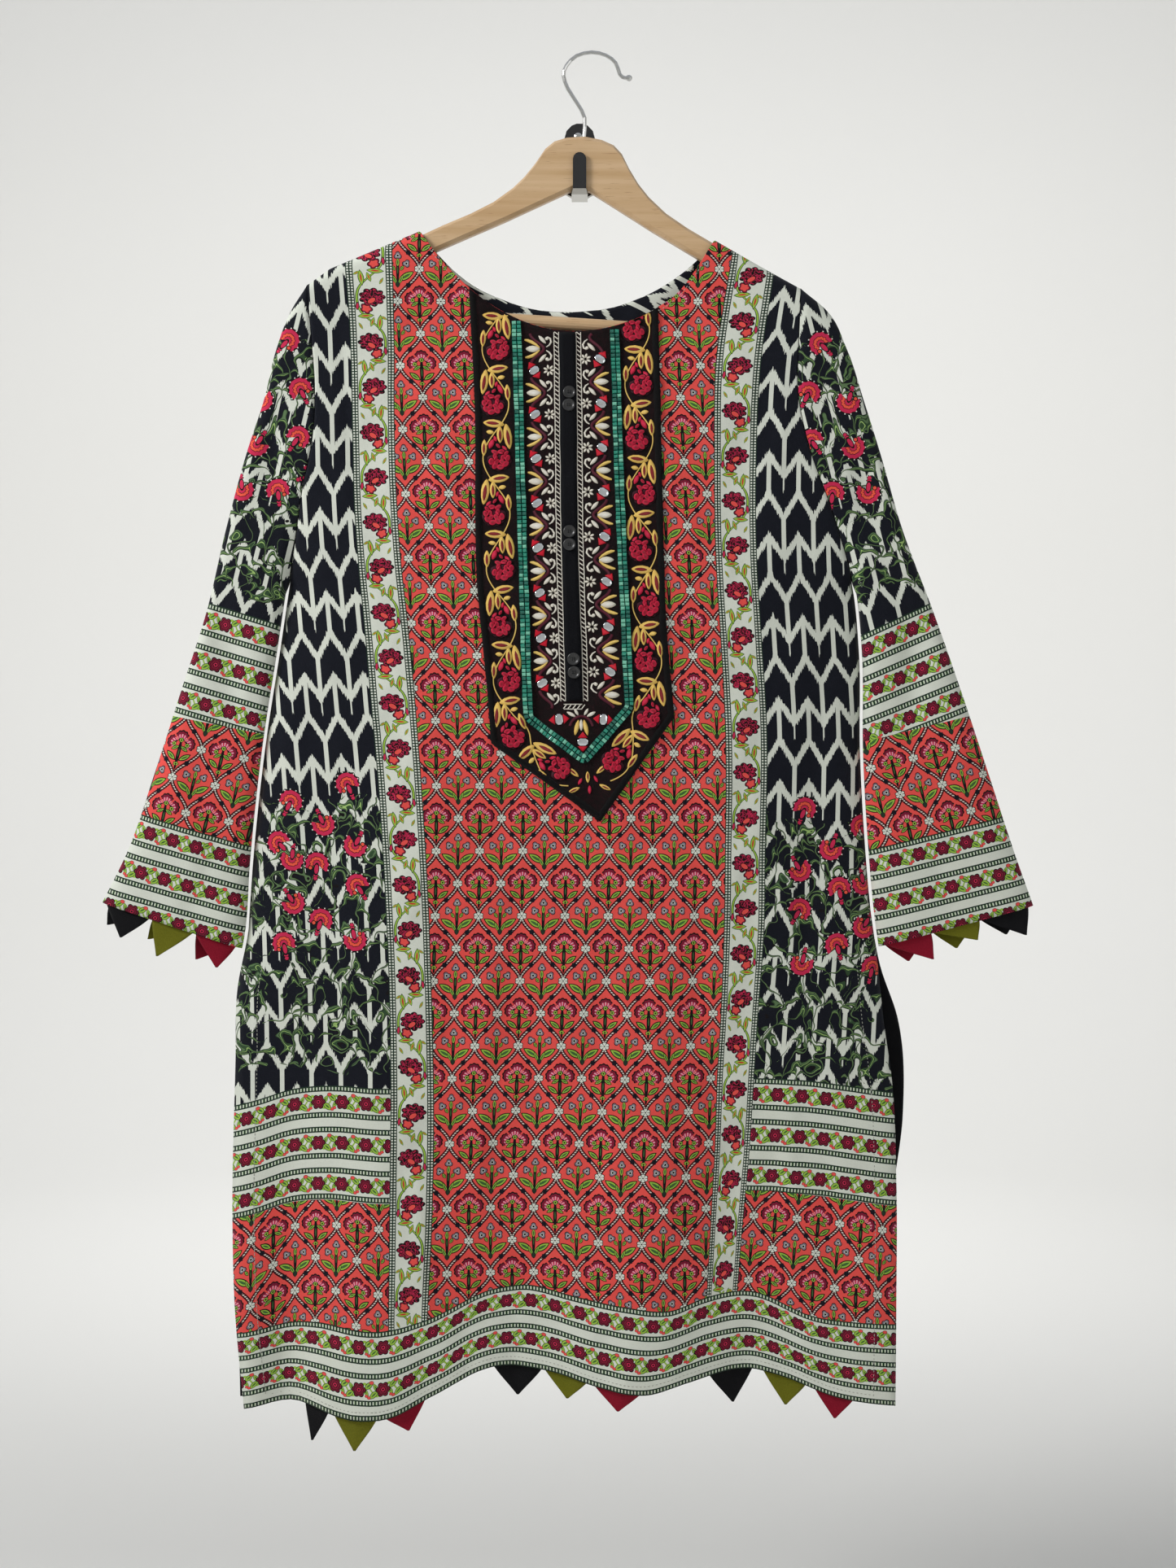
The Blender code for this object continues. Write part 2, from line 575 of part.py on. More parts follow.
def facing():
    """The strip inside the back neck, on the back panel's inner side."""
    x = np.linspace(FACING_LEFT, FACING_RIGHT, FACING_COLUMNS)
    z = spread(back_neck(x) - LAID, back_neck(x) - FACING_DEEP, np.linspace(0, 1, FACING_ROWS)[:, None])
    x = np.broadcast_to(x, z.shape)
    laid("back_neck_facing", x, z, 1, -WALL - LAID - TRIM, TRIM, "ikat")


def hanger_frame(x, y, z):
    """Hanger coordinates to the row's: turned by the tilt about the hanger's middle."""
    cos, sin = math.cos(HANGER_TILT), math.sin(HANGER_TILT)
    return np.stack([HANGER_X + x * cos - z * sin, y, x * sin + z * cos], -1)


def turns(sides):
    return np.linspace(0, 2 * math.pi, sides, endpoint=False)


def hanger():
    top, bottom = line(ARM_TOP), line(ARM_BOTTOM)
    half_stations = sorted({x for x, _ in ARM_TOP + ARM_BOTTOM if x > 0})
    stations = [-x for x in reversed(half_stations)] + [0] + half_stations
    half, edge = HANGER_THICK / 2, HANGER_EDGE
    rings = []
    for x in stations:
        high, low, y = top(abs(x)), bottom(abs(x)), HANGER_Y - HANGER_SWEEP * (x / HANGER_HALF) ** 2
        corners = ((-half, high - edge), (-half + edge, high), (half - edge, high), (half, high - edge),
                   (half, low + edge), (half - edge, low), (-half + edge, low), (-half, low + edge))
        rings.append([hanger_frame(np.array(x), np.array(y + dy), np.array(z)) for dy, z in corners])
    capped_tube("hanger_body", np.array(rings), "wood")
    y, z = BAR_RADIUS * np.cos(turns(BAR_SIDES)), BAR_RADIUS * np.sin(turns(BAR_SIDES))
    rings = [hanger_frame(np.full_like(y, x), BAR_Y + y, BAR_Z + z) for x in (-BAR_HALF, BAR_HALF)]
    capped_tube("hanger_bar", np.array(rings), "wood")


def wire_hook():
    """The bent wire, a round tube through its route with a ball at its free end."""
    route = np.array(WIRE)
    slope = np.gradient(route, axis=0)
    middle, radius = [], []
    for i in range(len(route) - 1):
        for t in np.arange(WIRE_STEPS) / WIRE_STEPS:
            middle.append(hermite(t, route[i], route[i + 1], slope[i], slope[i + 1]))
            radius.append(WIRE_RADIUS)
    run = unit(route[-1] - route[-2])
    for turn in np.radians(BALL_TURNS):
        middle.append(route[-1] + run * WIRE_BALL * math.sin(turn))
        radius.append(WIRE_BALL * math.cos(turn))
    middle, radius = np.array(middle), np.array(radius)
    along = unit(np.gradient(middle, axis=0))
    rings = []
    for (x, z), (dx, dz), r in zip(middle, along, radius):
        aside, out = r * np.cos(turns(WIRE_SIDES)), r * np.sin(turns(WIRE_SIDES))
        rings.append(np.stack([x + aside * dz, HANGER_Y + out, z - aside * dx], -1))
    capped_tube("hanger_hook", np.array(rings), "steel")


def rounded_end(y, top, width):
    """Stations of a strip's round end, from its tip down."""
    stations = []
    for share in ROUND_END:
        stations.append((y, top - width / 2 * share, width * math.sqrt(1 - (1 - share) ** 2)))
    return stations


def wall_hook():
    """Plate, arm and tongue as one bent strip. Its ends are rounded by narrowing stations."""
    plate_y = -HOOK_THICK / 2
    path = rounded_end(plate_y, PLATE_TOP, PLATE_WIDTH)
    path += [(plate_y, PLATE_BOTTOM, PLATE_WIDTH), (plate_y, PLATE_BOTTOM - HOOK_BEND, HOOK_ARM_WIDTH)]
    path += [(y, HOOK_ARM_Z, HOOK_ARM_WIDTH) for y in (plate_y - HOOK_BEND, TONGUE_Y + HOOK_BEND)]
    path += [(TONGUE_Y, HOOK_ARM_Z + HOOK_BEND, TONGUE_WIDTH)]
    path += rounded_end(TONGUE_Y, TONGUE_TOP, TONGUE_WIDTH)[::-1]
    places = np.array([(y, z) for y, z, _ in path])
    run = unit(np.diff(places, axis=0))
    before, after = np.vstack([run[:1], run]), np.vstack([run, run[-1:]])
    aside = unit(before + after)[:, ::-1] * (1, -1)
    aside /= (aside * (after[:, ::-1] * (1, -1))).sum(-1, keepdims=True)
    rings = []
    for (y, z), (dy, dz), (_, _, width) in zip(places, aside * HOOK_THICK / 2, path):
        rings.append([(-width / 2, y - dy, z - dz), (width / 2, y - dy, z - dz),
                      (width / 2, y + dy, z + dz), (-width / 2, y + dy, z + dz)])
    capped_tube("wall_hook", np.array(rings), "hook_black")
    across, up = np.cos(turns(SCREW_SIDES)), np.sin(turns(SCREW_SIDES))
    rings = []
    for radius, out in SCREW_PROFILE:
        y = np.full_like(across, -HOOK_THICK - SCREW_GAP - out)
        rings.append(np.stack([SCREW_X + radius * across, y, SCREW_Z + radius * up], -1))
    capped_tube("wall_screw", np.array(rings), "steel")


def build():
    for old in list(bpy.data.objects):
        bpy.data.objects.remove(old)
    panel("front_panel", FRONT_COLUMNS, -1, LOWER_ROWS, "coral")
    panel("back_panel", BACK_COLUMNS, 1, LOWER_ROWS // 2, "ikat")
    sleeve("left", "ikat")
    sleeve("right", "ikat")
    facing()
    yoke()
    on_yoke = LAID + TRIM + LAID
    band("placket_strip", PLACKET, PLACKET_WIDTH, on_yoke, "navy")
    band("yoke_ribbon", RIBBON, RIBBON_WIDTH, on_yoke, "teal")
    for number, (x, z) in enumerate(BUTTONS, 1):
        button(number, x, z, on_yoke + TRIM + SEAM)
    for number, row in enumerate(HEM_POINTS, 1):
        hem_point(number, row)
    for side in SLEEVES:
        for number, row in enumerate([row for row in CUFF_POINTS if row[0] == side], 1):
            cuff_point(number, row)
    hanger()
    wire_hook()
    wall_hook()


build()
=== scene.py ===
"""A printed cotton kurti on a wooden hanger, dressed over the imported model.

X runs to the viewer's right, Y into the wall and Z up, as in the model. Lengths in the tables are in
millimetres, and meshes are made in metres. The form tables repeat the model's, read at a finer step.
"""

import math

import bmesh
import bpy
import numpy as np
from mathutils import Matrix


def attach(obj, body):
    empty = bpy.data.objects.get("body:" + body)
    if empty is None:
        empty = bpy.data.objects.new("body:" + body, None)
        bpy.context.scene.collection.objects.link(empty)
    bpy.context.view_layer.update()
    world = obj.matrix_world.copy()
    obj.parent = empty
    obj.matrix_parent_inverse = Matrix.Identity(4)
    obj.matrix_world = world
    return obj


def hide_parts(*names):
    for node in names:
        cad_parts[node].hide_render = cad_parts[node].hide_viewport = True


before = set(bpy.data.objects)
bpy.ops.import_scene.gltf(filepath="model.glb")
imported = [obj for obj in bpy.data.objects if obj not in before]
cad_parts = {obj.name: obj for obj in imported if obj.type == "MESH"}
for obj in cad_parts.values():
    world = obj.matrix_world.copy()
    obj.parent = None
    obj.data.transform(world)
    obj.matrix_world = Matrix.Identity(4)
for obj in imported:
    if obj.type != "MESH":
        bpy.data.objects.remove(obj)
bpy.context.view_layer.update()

MM = 0.001

# Cloth and seams
WALL = 1.2
TRIM = 1.0
SEAM = 0.4
LAID = 0.5

# Levels of the body, and how deep it is
UNDERARM = -348.0
SLIT = -650.0
SLIT_OPENS = 70.0
SLIT_PARTS = 5.0
SIDE_Y = -26.0
RIDGE_ROUND = 10.0
HANGER_ROOM = 9.2
ARMHOLE_CLOSES = -215.0
FACING_DEEP, FACING_LEFT, FACING_RIGHT = 40.0, -112.0, 93.0

# Where the shoulders and the hanger's top edge run: (x, z), with the neck spanned by a tent
RIDGE = ((-219, -106), (-201, -92.8), (-129.7, -61.9), (-10, -10), (109.5, -69), (146.7, -90.8),
         (178, -108.5))
NECK_LEFT, NECK_RIGHT = -129.7, 109.5
FRONT_NECK = ((-129.7, -61.9), (-112, -86), (-97, -101.7), (-83.5, -114), (-61.3, -128.4), (-30, -141),
              (1.3, -144), (31.3, -138.8), (61.3, -125.8), (82.2, -110), (97.1, -89.3), (109.5, -69))
BACK_NECK = ((-129.7, -61.9), (-100.4, -93), (-56.7, -117), (-7.2, -124.5), (37.8, -117.4), (86.7, -90.6),
             (109.5, -69))

# Side edges: (z, x), the armhole seam down to the underarm, then the side seam and the slit
LEFT_EDGE = ((-106, -219), (-153, -215), (-190, -212.4), (-236, -215), (-269, -222), (-306, -227.5),
             (-348, -234), (-402, -242), (-473, -253), (-575, -264), (-627, -267.5), (-673, -276),
             (-728, -277), (-859, -279), (-924, -277), (-1010, -269))
RIGHT_EDGE = ((-108.5, 178), (-156, 176), (-194, 175.4), (-235, 183.5), (-290, 203), (-348, 220),
              (-402, 225.6), (-483, 226.5), (-551, 230), (-610, 235), (-656, 241), (-704, 245.5),
              (-744, 251), (-831, 254.6), (-924, 254), (-1007, 253))
BACK_LEFT_EDGE = LEFT_EDGE[:11] + ((-673, -270), (-728, -272), (-859, -275), (-956, -276), (-1010, -275))
BACK_RIGHT_EDGE = RIGHT_EDGE[:10] + ((-656, 243), (-698, 257.5), (-777, 262), (-839, 254.3), (-1007, 250))

# Hem: (x, z)
HEM = ((-269, -1010), (-233, -1005), (-178, -1016), (-153, -1014), (-118, -998), (-72, -977), (-27, -979),
       (18, -990), (53, -994), (87, -986), (138, -979), (167, -986), (201, -999), (253, -1007))
BACK_HEM_SHORTER = 5.0

# How far front and back stand out from the side seams in the middle: (z, depth)
FRONT_DEPTH = ((-60, 9.2), (-145, 9.6), (-240, 14), (-348, 18), (-650, 19), (-1016, 20))
BACK_DEPTH = ((-60, 9.2), (-145, 9.2), (-348, 12), (-1016, 12))

# How the sides round: powers across the panel, which is -1 at its left edge and 1 at its right
CROWN_POWER, ROUND_POWER, HELD_POWER = 2.4, 8, 6
EDGE_BLUNT, SLIT_BLUNT = 0.7, 0.3

# Below the shoulders the middle plane leaves the hanger's for the side seams', and relief fades in
HANGER_UNTIL, HANGER_LEAVES = -110.0, 240.0
RELIEF_FADES_IN = 60.0
SLOPE_STEP = 0.5

# Folds that open towards the hem: (x at top, z at top, x at hem, width, height), a trough's height below 0
FRONT_FOLDS = (
    (-262, -690, -269, 22, 8),
    (-228, -640, -233, 22, -9),
    (-150, -470, -165, 42, 10),
    (-40, -470, -50, 46, -10),
    (45, -480, 50, 44, 11),
    (125, -470, 138, 40, -10),
    (240, -670, 250, 34, 9),
)
BACK_FOLDS = (
    (-190, -500, -205, 34, 4),
    (-110, -460, -118, 38, -4),
    (-20, -520, -15, 46, 5),
    (75, -470, 84, 40, -4),
    (170, -500, 185, 34, 4),
)
FOLDS_END = -1000.0

# Folds that fade at both ends: (x, z) to (x, z), width, height
FRONT_CREASES = (
    (194, -390, 180, -760, 15, -4.5),
    (-206, -400, -216, -690, 18, -4),
    (-196, -190, -150, -330, 20, -3),
    (150, -190, 118, -330, 20, -3),
    (-120, -420, -135, -680, 26, 3),
    (112, -400, 122, -640, 24, 3),
)
BACK_CREASES = (
    (-150, -160, -60, -260, 26, -3),
    (130, -160, 40, -260, 26, -3),
    (-180, -380, -195, -680, 26, -3),
    (165, -380, 178, -680, 26, -3),
)
SLEEVE_CREASES = {
    "left": (
        (-236, -170, -262, -330, 11, -4),
        (-290, -350, -272, -480, 13, -3.5),
        (-330, -480, -300, -600, 14, 3),
    ),
    "right": (
        (203, -145, 192, -235, 7, -5),
        (222, -210, 238, -330, 11, -4),
        (275, -350, 262, -490, 13, -3.5),
    ),
}

# Sleeve rings: (outer x, outer z, inner z, half depth), from the armhole to the cuff
SLEEVES = {
    "left": (
        (-219, -106, -348, 9.2), (-231.5, -125, -355, 10), (-244.5, -158, -366, 10.5),
        (-254.5, -198, -382, 11), (-268, -239, -402, 11.5), (-285.6, -304, -432, 12),
        (-301.2, -370, -470, 12), (-322.1, -435, -516, 12), (-343, -500, -560, 12),
        (-365.8, -565, -606, 11), (-385.3, -604.4, -641.6, 10),
    ),
    "right": (
        (178, -108.5, -348, 9.2), (198.2, -125, -355, 10), (215.8, -158, -366, 10.5), (229, -198, -381, 11),
        (241.9, -239, -399, 11.5), (260.8, -304, -430, 12), (285.6, -370, -470, 12), (308.4, -435, -514, 12),
        (330, -500, -560, 12), (351.4, -565, -606, 11), (366.4, -607, -640, 10),
    ),
}
SLEEVE_ROUND = 6
SLEEVE_CLEAR = 2.5

# The embroidered yoke: (z, x) of its sides, and its pointed bottom edge as (x, z)
YOKE_LEFT = ((-110, -89), (-211, -84), (-353, -81.5), (-426, -74.3), (-476.6, -70.4))
YOKE_RIGHT = ((-124, 63.2), (-338, 67.8), (-382, 69.1), (-455, 75.6))
YOKE_BOTTOM = ((-70.4, -476.6), (16.6, -539.2), (75.6, -455.1))
PLACKET = ((-9.8, -146), (-9.0, -200), (-8.0, -310), (-3.9, -442.7))
PLACKET_WIDTH = 12.5
RIBBON = ((-50.9, -137), (-46, -300), (-41.1, -455.8), (3.9, -489.7), (39.8, -447.9), (33, -300), (28, -143))
RIBBON_WIDTH = 8.0
YOKE_LEVEL = -300.0
BUTTONS = ((-8.9, -195), (-8.9, -205.5), (-8.0, -307.5), (-8.0, -318), (-4.6, -409.5), (-4.3, -420))
BUTTON_ACROSS = 10.0

# Hem points: (base from x, base to x, tip x, tip z, colour)
HEM_POINTS = (
    (-222, -201, -214.5, -1035.4, "black"),
    (-197, -161, -179.3, -1040.6, "olive"),
    (-155, -122, -136.3, -1024.3, "red"),
    (-69, -30, -49.6, -999.5, "black"),
    (-29, 6, -9.8, -1001, "olive"),
    (10, 49, 30.6, -1008, "red"),
    (104, 139.5, 123.2, -1005.4, "black"),
    (146.7, 182, 165.6, -1008, "olive"),
    (188, 219.7, 204.7, -1017.8, "red"),
)
POINT_HIDDEN = 6.0
POINT_BLUNT = 1.6
POINT_SUNK = 1.0

# Cuff points: (side, face, base from, base to, tip x, tip z, colour), the base in shares of the cuff's edge
CUFF_POINTS = (
    ("left", -1, 0.04, 0.35, -369, -632.4, "black"), ("left", -1, 0.37, 0.66, -339.7, -647.4, "olive"),
    ("left", -1, 0.68, 0.96, -292, -656.6, "red"), ("left", 1, 0.04, 0.33, -382.7, -623.3, "black"),
    ("left", 1, 0.35, 0.64, -350, -635, "olive"), ("left", 1, 0.66, 0.94, -311, -651.3, "red"),
    ("right", -1, 0.04, 0.34, 359, -630.5, "black"), ("right", -1, 0.36, 0.65, 319.5, -634.4, "olive"),
    ("right", -1, 0.67, 0.96, 284.3, -650, "red"), ("right", 1, 0.06, 0.34, 346, -631, "black"),
    ("right", 1, 0.36, 0.65, 305.8, -642.2, "olive"), ("right", 1, 0.67, 0.96, 266.7, -652.6, "red"),
)

HANGER_X = 3.0
HANGER_Y = -21.0
HANGER_SWEEP = 4.0
HANGER_HALF = 180.0


def hermite(t, start, end, start_slope, end_slope):
    left = start * (1 + 2 * t) * (1 - t) ** 2 + start_slope * t * (1 - t) ** 2
    return left + end * t * t * (3 - 2 * t) - end_slope * t * t * (1 - t)


def curve(table):
    """A smooth function through a table's rows, flat past both ends."""
    at, value = np.array(sorted(table), float).T
    slope = np.gradient(value, at)

    def read(x):
        x = np.clip(x, at[0], at[-1])
        i = np.clip(np.searchsorted(at, x) - 1, 0, len(at) - 2)
        span = at[i + 1] - at[i]
        t = (x - at[i]) / span
        return hermite(t, value[i], value[i + 1], slope[i] * span, slope[i + 1] * span)

    return read


def line(table):
    """A function of straight runs through a table's rows."""
    at, value = np.array(sorted(table), float).T
    return lambda x: np.interp(x, at, value)


def smooth(t):
    t = np.clip(t, 0, 1)
    return t * t * (3 - 2 * t)


ridge = line(RIDGE)
front_neck, back_neck = curve(FRONT_NECK), curve(BACK_NECK)
EDGES = {-1: (curve(LEFT_EDGE), curve(RIGHT_EDGE)), 1: (curve(BACK_LEFT_EDGE), curve(BACK_RIGHT_EDGE))}
DEPTHS = {-1: curve(FRONT_DEPTH), 1: curve(BACK_DEPTH)}
FOLDS = {-1: (FRONT_FOLDS, FRONT_CREASES), 1: (BACK_FOLDS, BACK_CREASES)}
hem = curve(HEM)


def top_edge(x, face):
    """The panel's upper edge: the neckline between the neck points, the shoulder seam outside them."""
    neck = front_neck if face < 0 else back_neck
    return np.where((x > NECK_LEFT) & (x < NECK_RIGHT), neck(x), ridge(x))


def hanger_y(x):
    return HANGER_Y - HANGER_SWEEP * ((x - HANGER_X) / HANGER_HALF) ** 2


def opening_fold(x, z, row):
    x_top, z_top, x_hem, width, height = row
    t = (z_top - z) / (z_top - FOLDS_END)
    return height * smooth(t) * np.exp(-(((x - x_top - (x_hem - x_top) * np.clip(t, 0, 1)) / width) ** 2))


def crease(x, z, row):
    """A soft ridge or trough along a straight run, fading at both ends."""
    x0, z0, x1, z1, width, height = row
    run = math.hypot(x1 - x0, z1 - z0)
    along = ((x - x0) * (x1 - x0) + (z - z0) * (z1 - z0)) / run**2
    across = ((x - x0) * (z1 - z0) - (z - z0) * (x1 - x0)) / run
    return height * np.sin(math.pi * np.clip(along, 0, 1)) * np.exp(-((across / width) ** 2))


def panel_y(x, z, face):
    """Depth of a panel's outer surface. face is -1 for the front and 1 for the back."""
    left, right = EDGES[face]
    side = np.clip(2 * (x - left(z)) / (right(z) - left(z)) - 1, -1, 1)
    free = smooth((SLIT - z) / SLIT_OPENS)
    crown = (1 - np.abs(side) ** CROWN_POWER) ** (EDGE_BLUNT + SLIT_BLUNT * free)
    down = ridge(x) - z
    wrap = np.sqrt(1 - (1 - np.clip(down / RIDGE_ROUND, 0, 1)) ** 2)
    closing = np.clip((ARMHOLE_CLOSES - z) / (ARMHOLE_CLOSES - UNDERARM), 0, 1)
    edge = HANGER_ROOM * np.sqrt(1 - closing**2) + SLIT_PARTS * free
    middle = hanger_y(x) + (SIDE_Y - hanger_y(x)) * smooth((HANGER_UNTIL - z) / HANGER_LEAVES)
    rounded = (1 - np.abs(side) ** ROUND_POWER) ** EDGE_BLUNT
    middle_depth = (DEPTHS[face](z) - HANGER_ROOM) * crown + HANGER_ROOM * rounded
    depth = (edge * (1 - rounded) + middle_depth) * wrap
    held = (1 - np.abs(side) ** HELD_POWER) * (1 - free) + free
    opening, creases = FOLDS[face]
    relief = sum(opening_fold(x, z, row) for row in opening) + sum(crease(x, z, row) for row in creases)
    return middle + face * (depth + relief * held * smooth(down / RELIEF_FADES_IN) + SEAM / 2)


# Shaders


def colour_of(red, green, blue):
    """A screen colour of 0 to 255 as the linear colour that shaders take."""
    channels = [c / 255 for c in (red, green, blue)]
    return (*[c / 12.92 if c < 0.04045 else ((c + 0.055) / 1.055) ** 2.4 for c in channels], 1.0)


CORAL = colour_of(230, 82, 76)
OFFWHITE = colour_of(216, 220, 208)
INK = colour_of(15, 18, 28)
DARK = colour_of(18, 13, 15)
LIME = colour_of(150, 188, 70)
LEAF = colour_of(62, 104, 52)
DEEP_GREEN = colour_of(32, 52, 38)
MAROON = colour_of(126, 24, 50)
CRIMSON = colour_of(200, 42, 80)
PINK = colour_of(226, 158, 172)
GREY_VIOLET = colour_of(132, 122, 134)
PALE_GREEN = colour_of(186, 208, 168)
PALE_LINE = colour_of(158, 190, 112)
BLADE = colour_of(50, 74, 48)
BLADE_PALE = colour_of(92, 118, 80)
BROWN_RED = colour_of(86, 24, 30)
FLAME = colour_of(232, 88, 66)


class Print:
    """A material drawn by nodes in the cloth's own coordinates, in millimetres, with v upwards."""

    def __init__(self, name):
        self.made = bpy.data.materials.new(name)
        self.made.use_nodes = True
        self.tree = self.made.node_tree
        self.shader = self.tree.nodes["Principled BSDF"]
        self.uv = self.add("UVMap", uv_map="cloth").outputs[0]

    def add(self, kind, **settings):
        node = self.tree.nodes.new("ShaderNode" + kind)
        for key, value in settings.items():
            setattr(node, key, value)
        return node

    def put(self, node, *values):
        for socket, value in zip(node.inputs, values):
            if isinstance(value, bpy.types.NodeSocket):
                self.tree.links.new(value, socket)
            elif value is not None:
                socket.default_value = value
        return node.outputs[0]

    def calc(self, operation, *values, clamp=False):
        return self.put(self.add("Math", operation=operation, use_clamp=clamp), *values)

    def vector(self, operation, *values):
        node = self.add("VectorMath", operation=operation)
        out = self.put(node, *values)
        return node.outputs["Value"] if operation == "LENGTH" else out

    def split(self, vector):
        node = self.add("SeparateXYZ")
        self.put(node, vector)
        return node.outputs[0], node.outputs[1]

    def join(self, x, y):
        return self.put(self.add("CombineXYZ"), x, y)

    def tile(self, vector, width, height, x=0.0, y=0.0):
        """Coordinates round the nearest centre of a lattice with one centre at (x, y)."""
        moved = self.vector("SUBTRACT", vector, (x, y, 0))
        return self.vector("WRAP", moved, (width / 2, height / 2, 1), (-width / 2, -height / 2, -1))

    def mirrored(self, vector):
        x, y = self.split(vector)
        return self.join(self.calc("ABSOLUTE", x), y)

    def local(self, vector, x, y, half_x, half_y, degrees=0.0):
        node = self.add("Mapping", vector_type="TEXTURE")
        return self.put(node, vector, (x, y, 0), (0, 0, math.radians(degrees)), (half_x, half_y, 1))

    def ellipse(self, vector, *place):
        """Distance from a centre, 1 on the ellipse: x, y, half sizes and turn."""
        return self.vector("LENGTH", self.local(vector, *place))

    def leaf(self, vector, *place):
        """As ellipse, but pointed at both ends along its first half size."""
        x, y = self.split(self.local(vector, *place))
        return self.calc("MULTIPLY_ADD", x, x, self.calc("ABSOLUTE", y))

    def petals(self, vector, radius, count, depth, *place):
        """A round flower of so many petals, 1 on its edge."""
        at = self.local(vector, *place) if place else vector
        x, y = self.split(at)
        turn = self.calc("MULTIPLY", self.calc("ARCTAN2", y, x), count / 2)
        wave = self.calc("ABSOLUTE", self.calc("COSINE", turn))
        edge = self.calc("MULTIPLY_ADD", wave, radius * depth, radius * (1 - depth))
        return self.calc("DIVIDE", self.vector("LENGTH", at), edge), wave

    def ramp(self, value, stops):
        """Flat rings of colour, each from its stop on. A colour of None is clear."""
        node = self.add("ValToRGB")
        node.color_ramp.interpolation = "CONSTANT"
        marks = node.color_ramp.elements
        while len(marks) < len(stops):
            marks.new(0.5)
        for mark, (at, colour) in zip(marks, stops):
            mark.position = at
            mark.color = colour or (0, 0, 0, 0)
        self.put(node, value)
        return node.outputs[0], node.outputs[1]

    def mix(self, factor, under, over):
        node = self.add("Mix", data_type="RGBA")
        for index, value in ((0, factor), (6, under), (7, over)):
            if isinstance(value, bpy.types.NodeSocket):
                self.tree.links.new(value, node.inputs[index])
            else:
                node.inputs[index].default_value = value
        return node.outputs[2]

    def stamp(self, under, value, stops):
        colour, alpha = self.ramp(value, stops)
        return self.mix(alpha, under, colour)

    def noise(self, vector, scale, detail=2.0):
        node = self.add("TexNoise", noise_dimensions="2D")
        node.inputs["Scale"].default_value = scale
        node.inputs["Detail"].default_value = detail
        self.tree.links.new(vector, node.inputs["Vector"])
        return node.outputs[0]

    def finish(self, colour, roughness=0.85, sheen=0.08, weave=0.35, faded=0.12):
        """Gives the cloth its colour with slubs and slight fading, and a weave that catches light."""
        across = self.noise(self.vector("MULTIPLY", self.uv, (0.3, 2.4, 1)), 1.0)
        along = self.noise(self.vector("MULTIPLY", self.uv, (2.4, 0.3, 1)), 1.0)
        slub = self.calc("ADD", across, along)
        tone = self.calc("MULTIPLY_ADD", slub, faded, 1 - faded)
        broad = self.noise(self.uv, 0.012)
        tone = self.calc("MULTIPLY", tone, self.calc("MULTIPLY_ADD", broad, faded, 1 - faded / 2))
        shade = self.vector("SCALE", colour, None, None, tone)
        self.tree.links.new(shade, self.shader.inputs["Base Color"])
        bump = self.add("Bump")
        bump.inputs["Strength"].default_value = weave
        bump.inputs["Distance"].default_value = 0.0006
        self.tree.links.new(slub, bump.inputs["Height"])
        self.tree.links.new(bump.outputs[0], self.shader.inputs["Normal"])
        self.shader.inputs["Roughness"].default_value = roughness
        self.shader.inputs["Sheen Weight"].default_value = sheen
        self.shader.inputs["Specular IOR Level"].default_value = 0.15
        return self.made


# The coral lattice, its repeat as (width, height)
LATTICE = (34.5, 52.0)


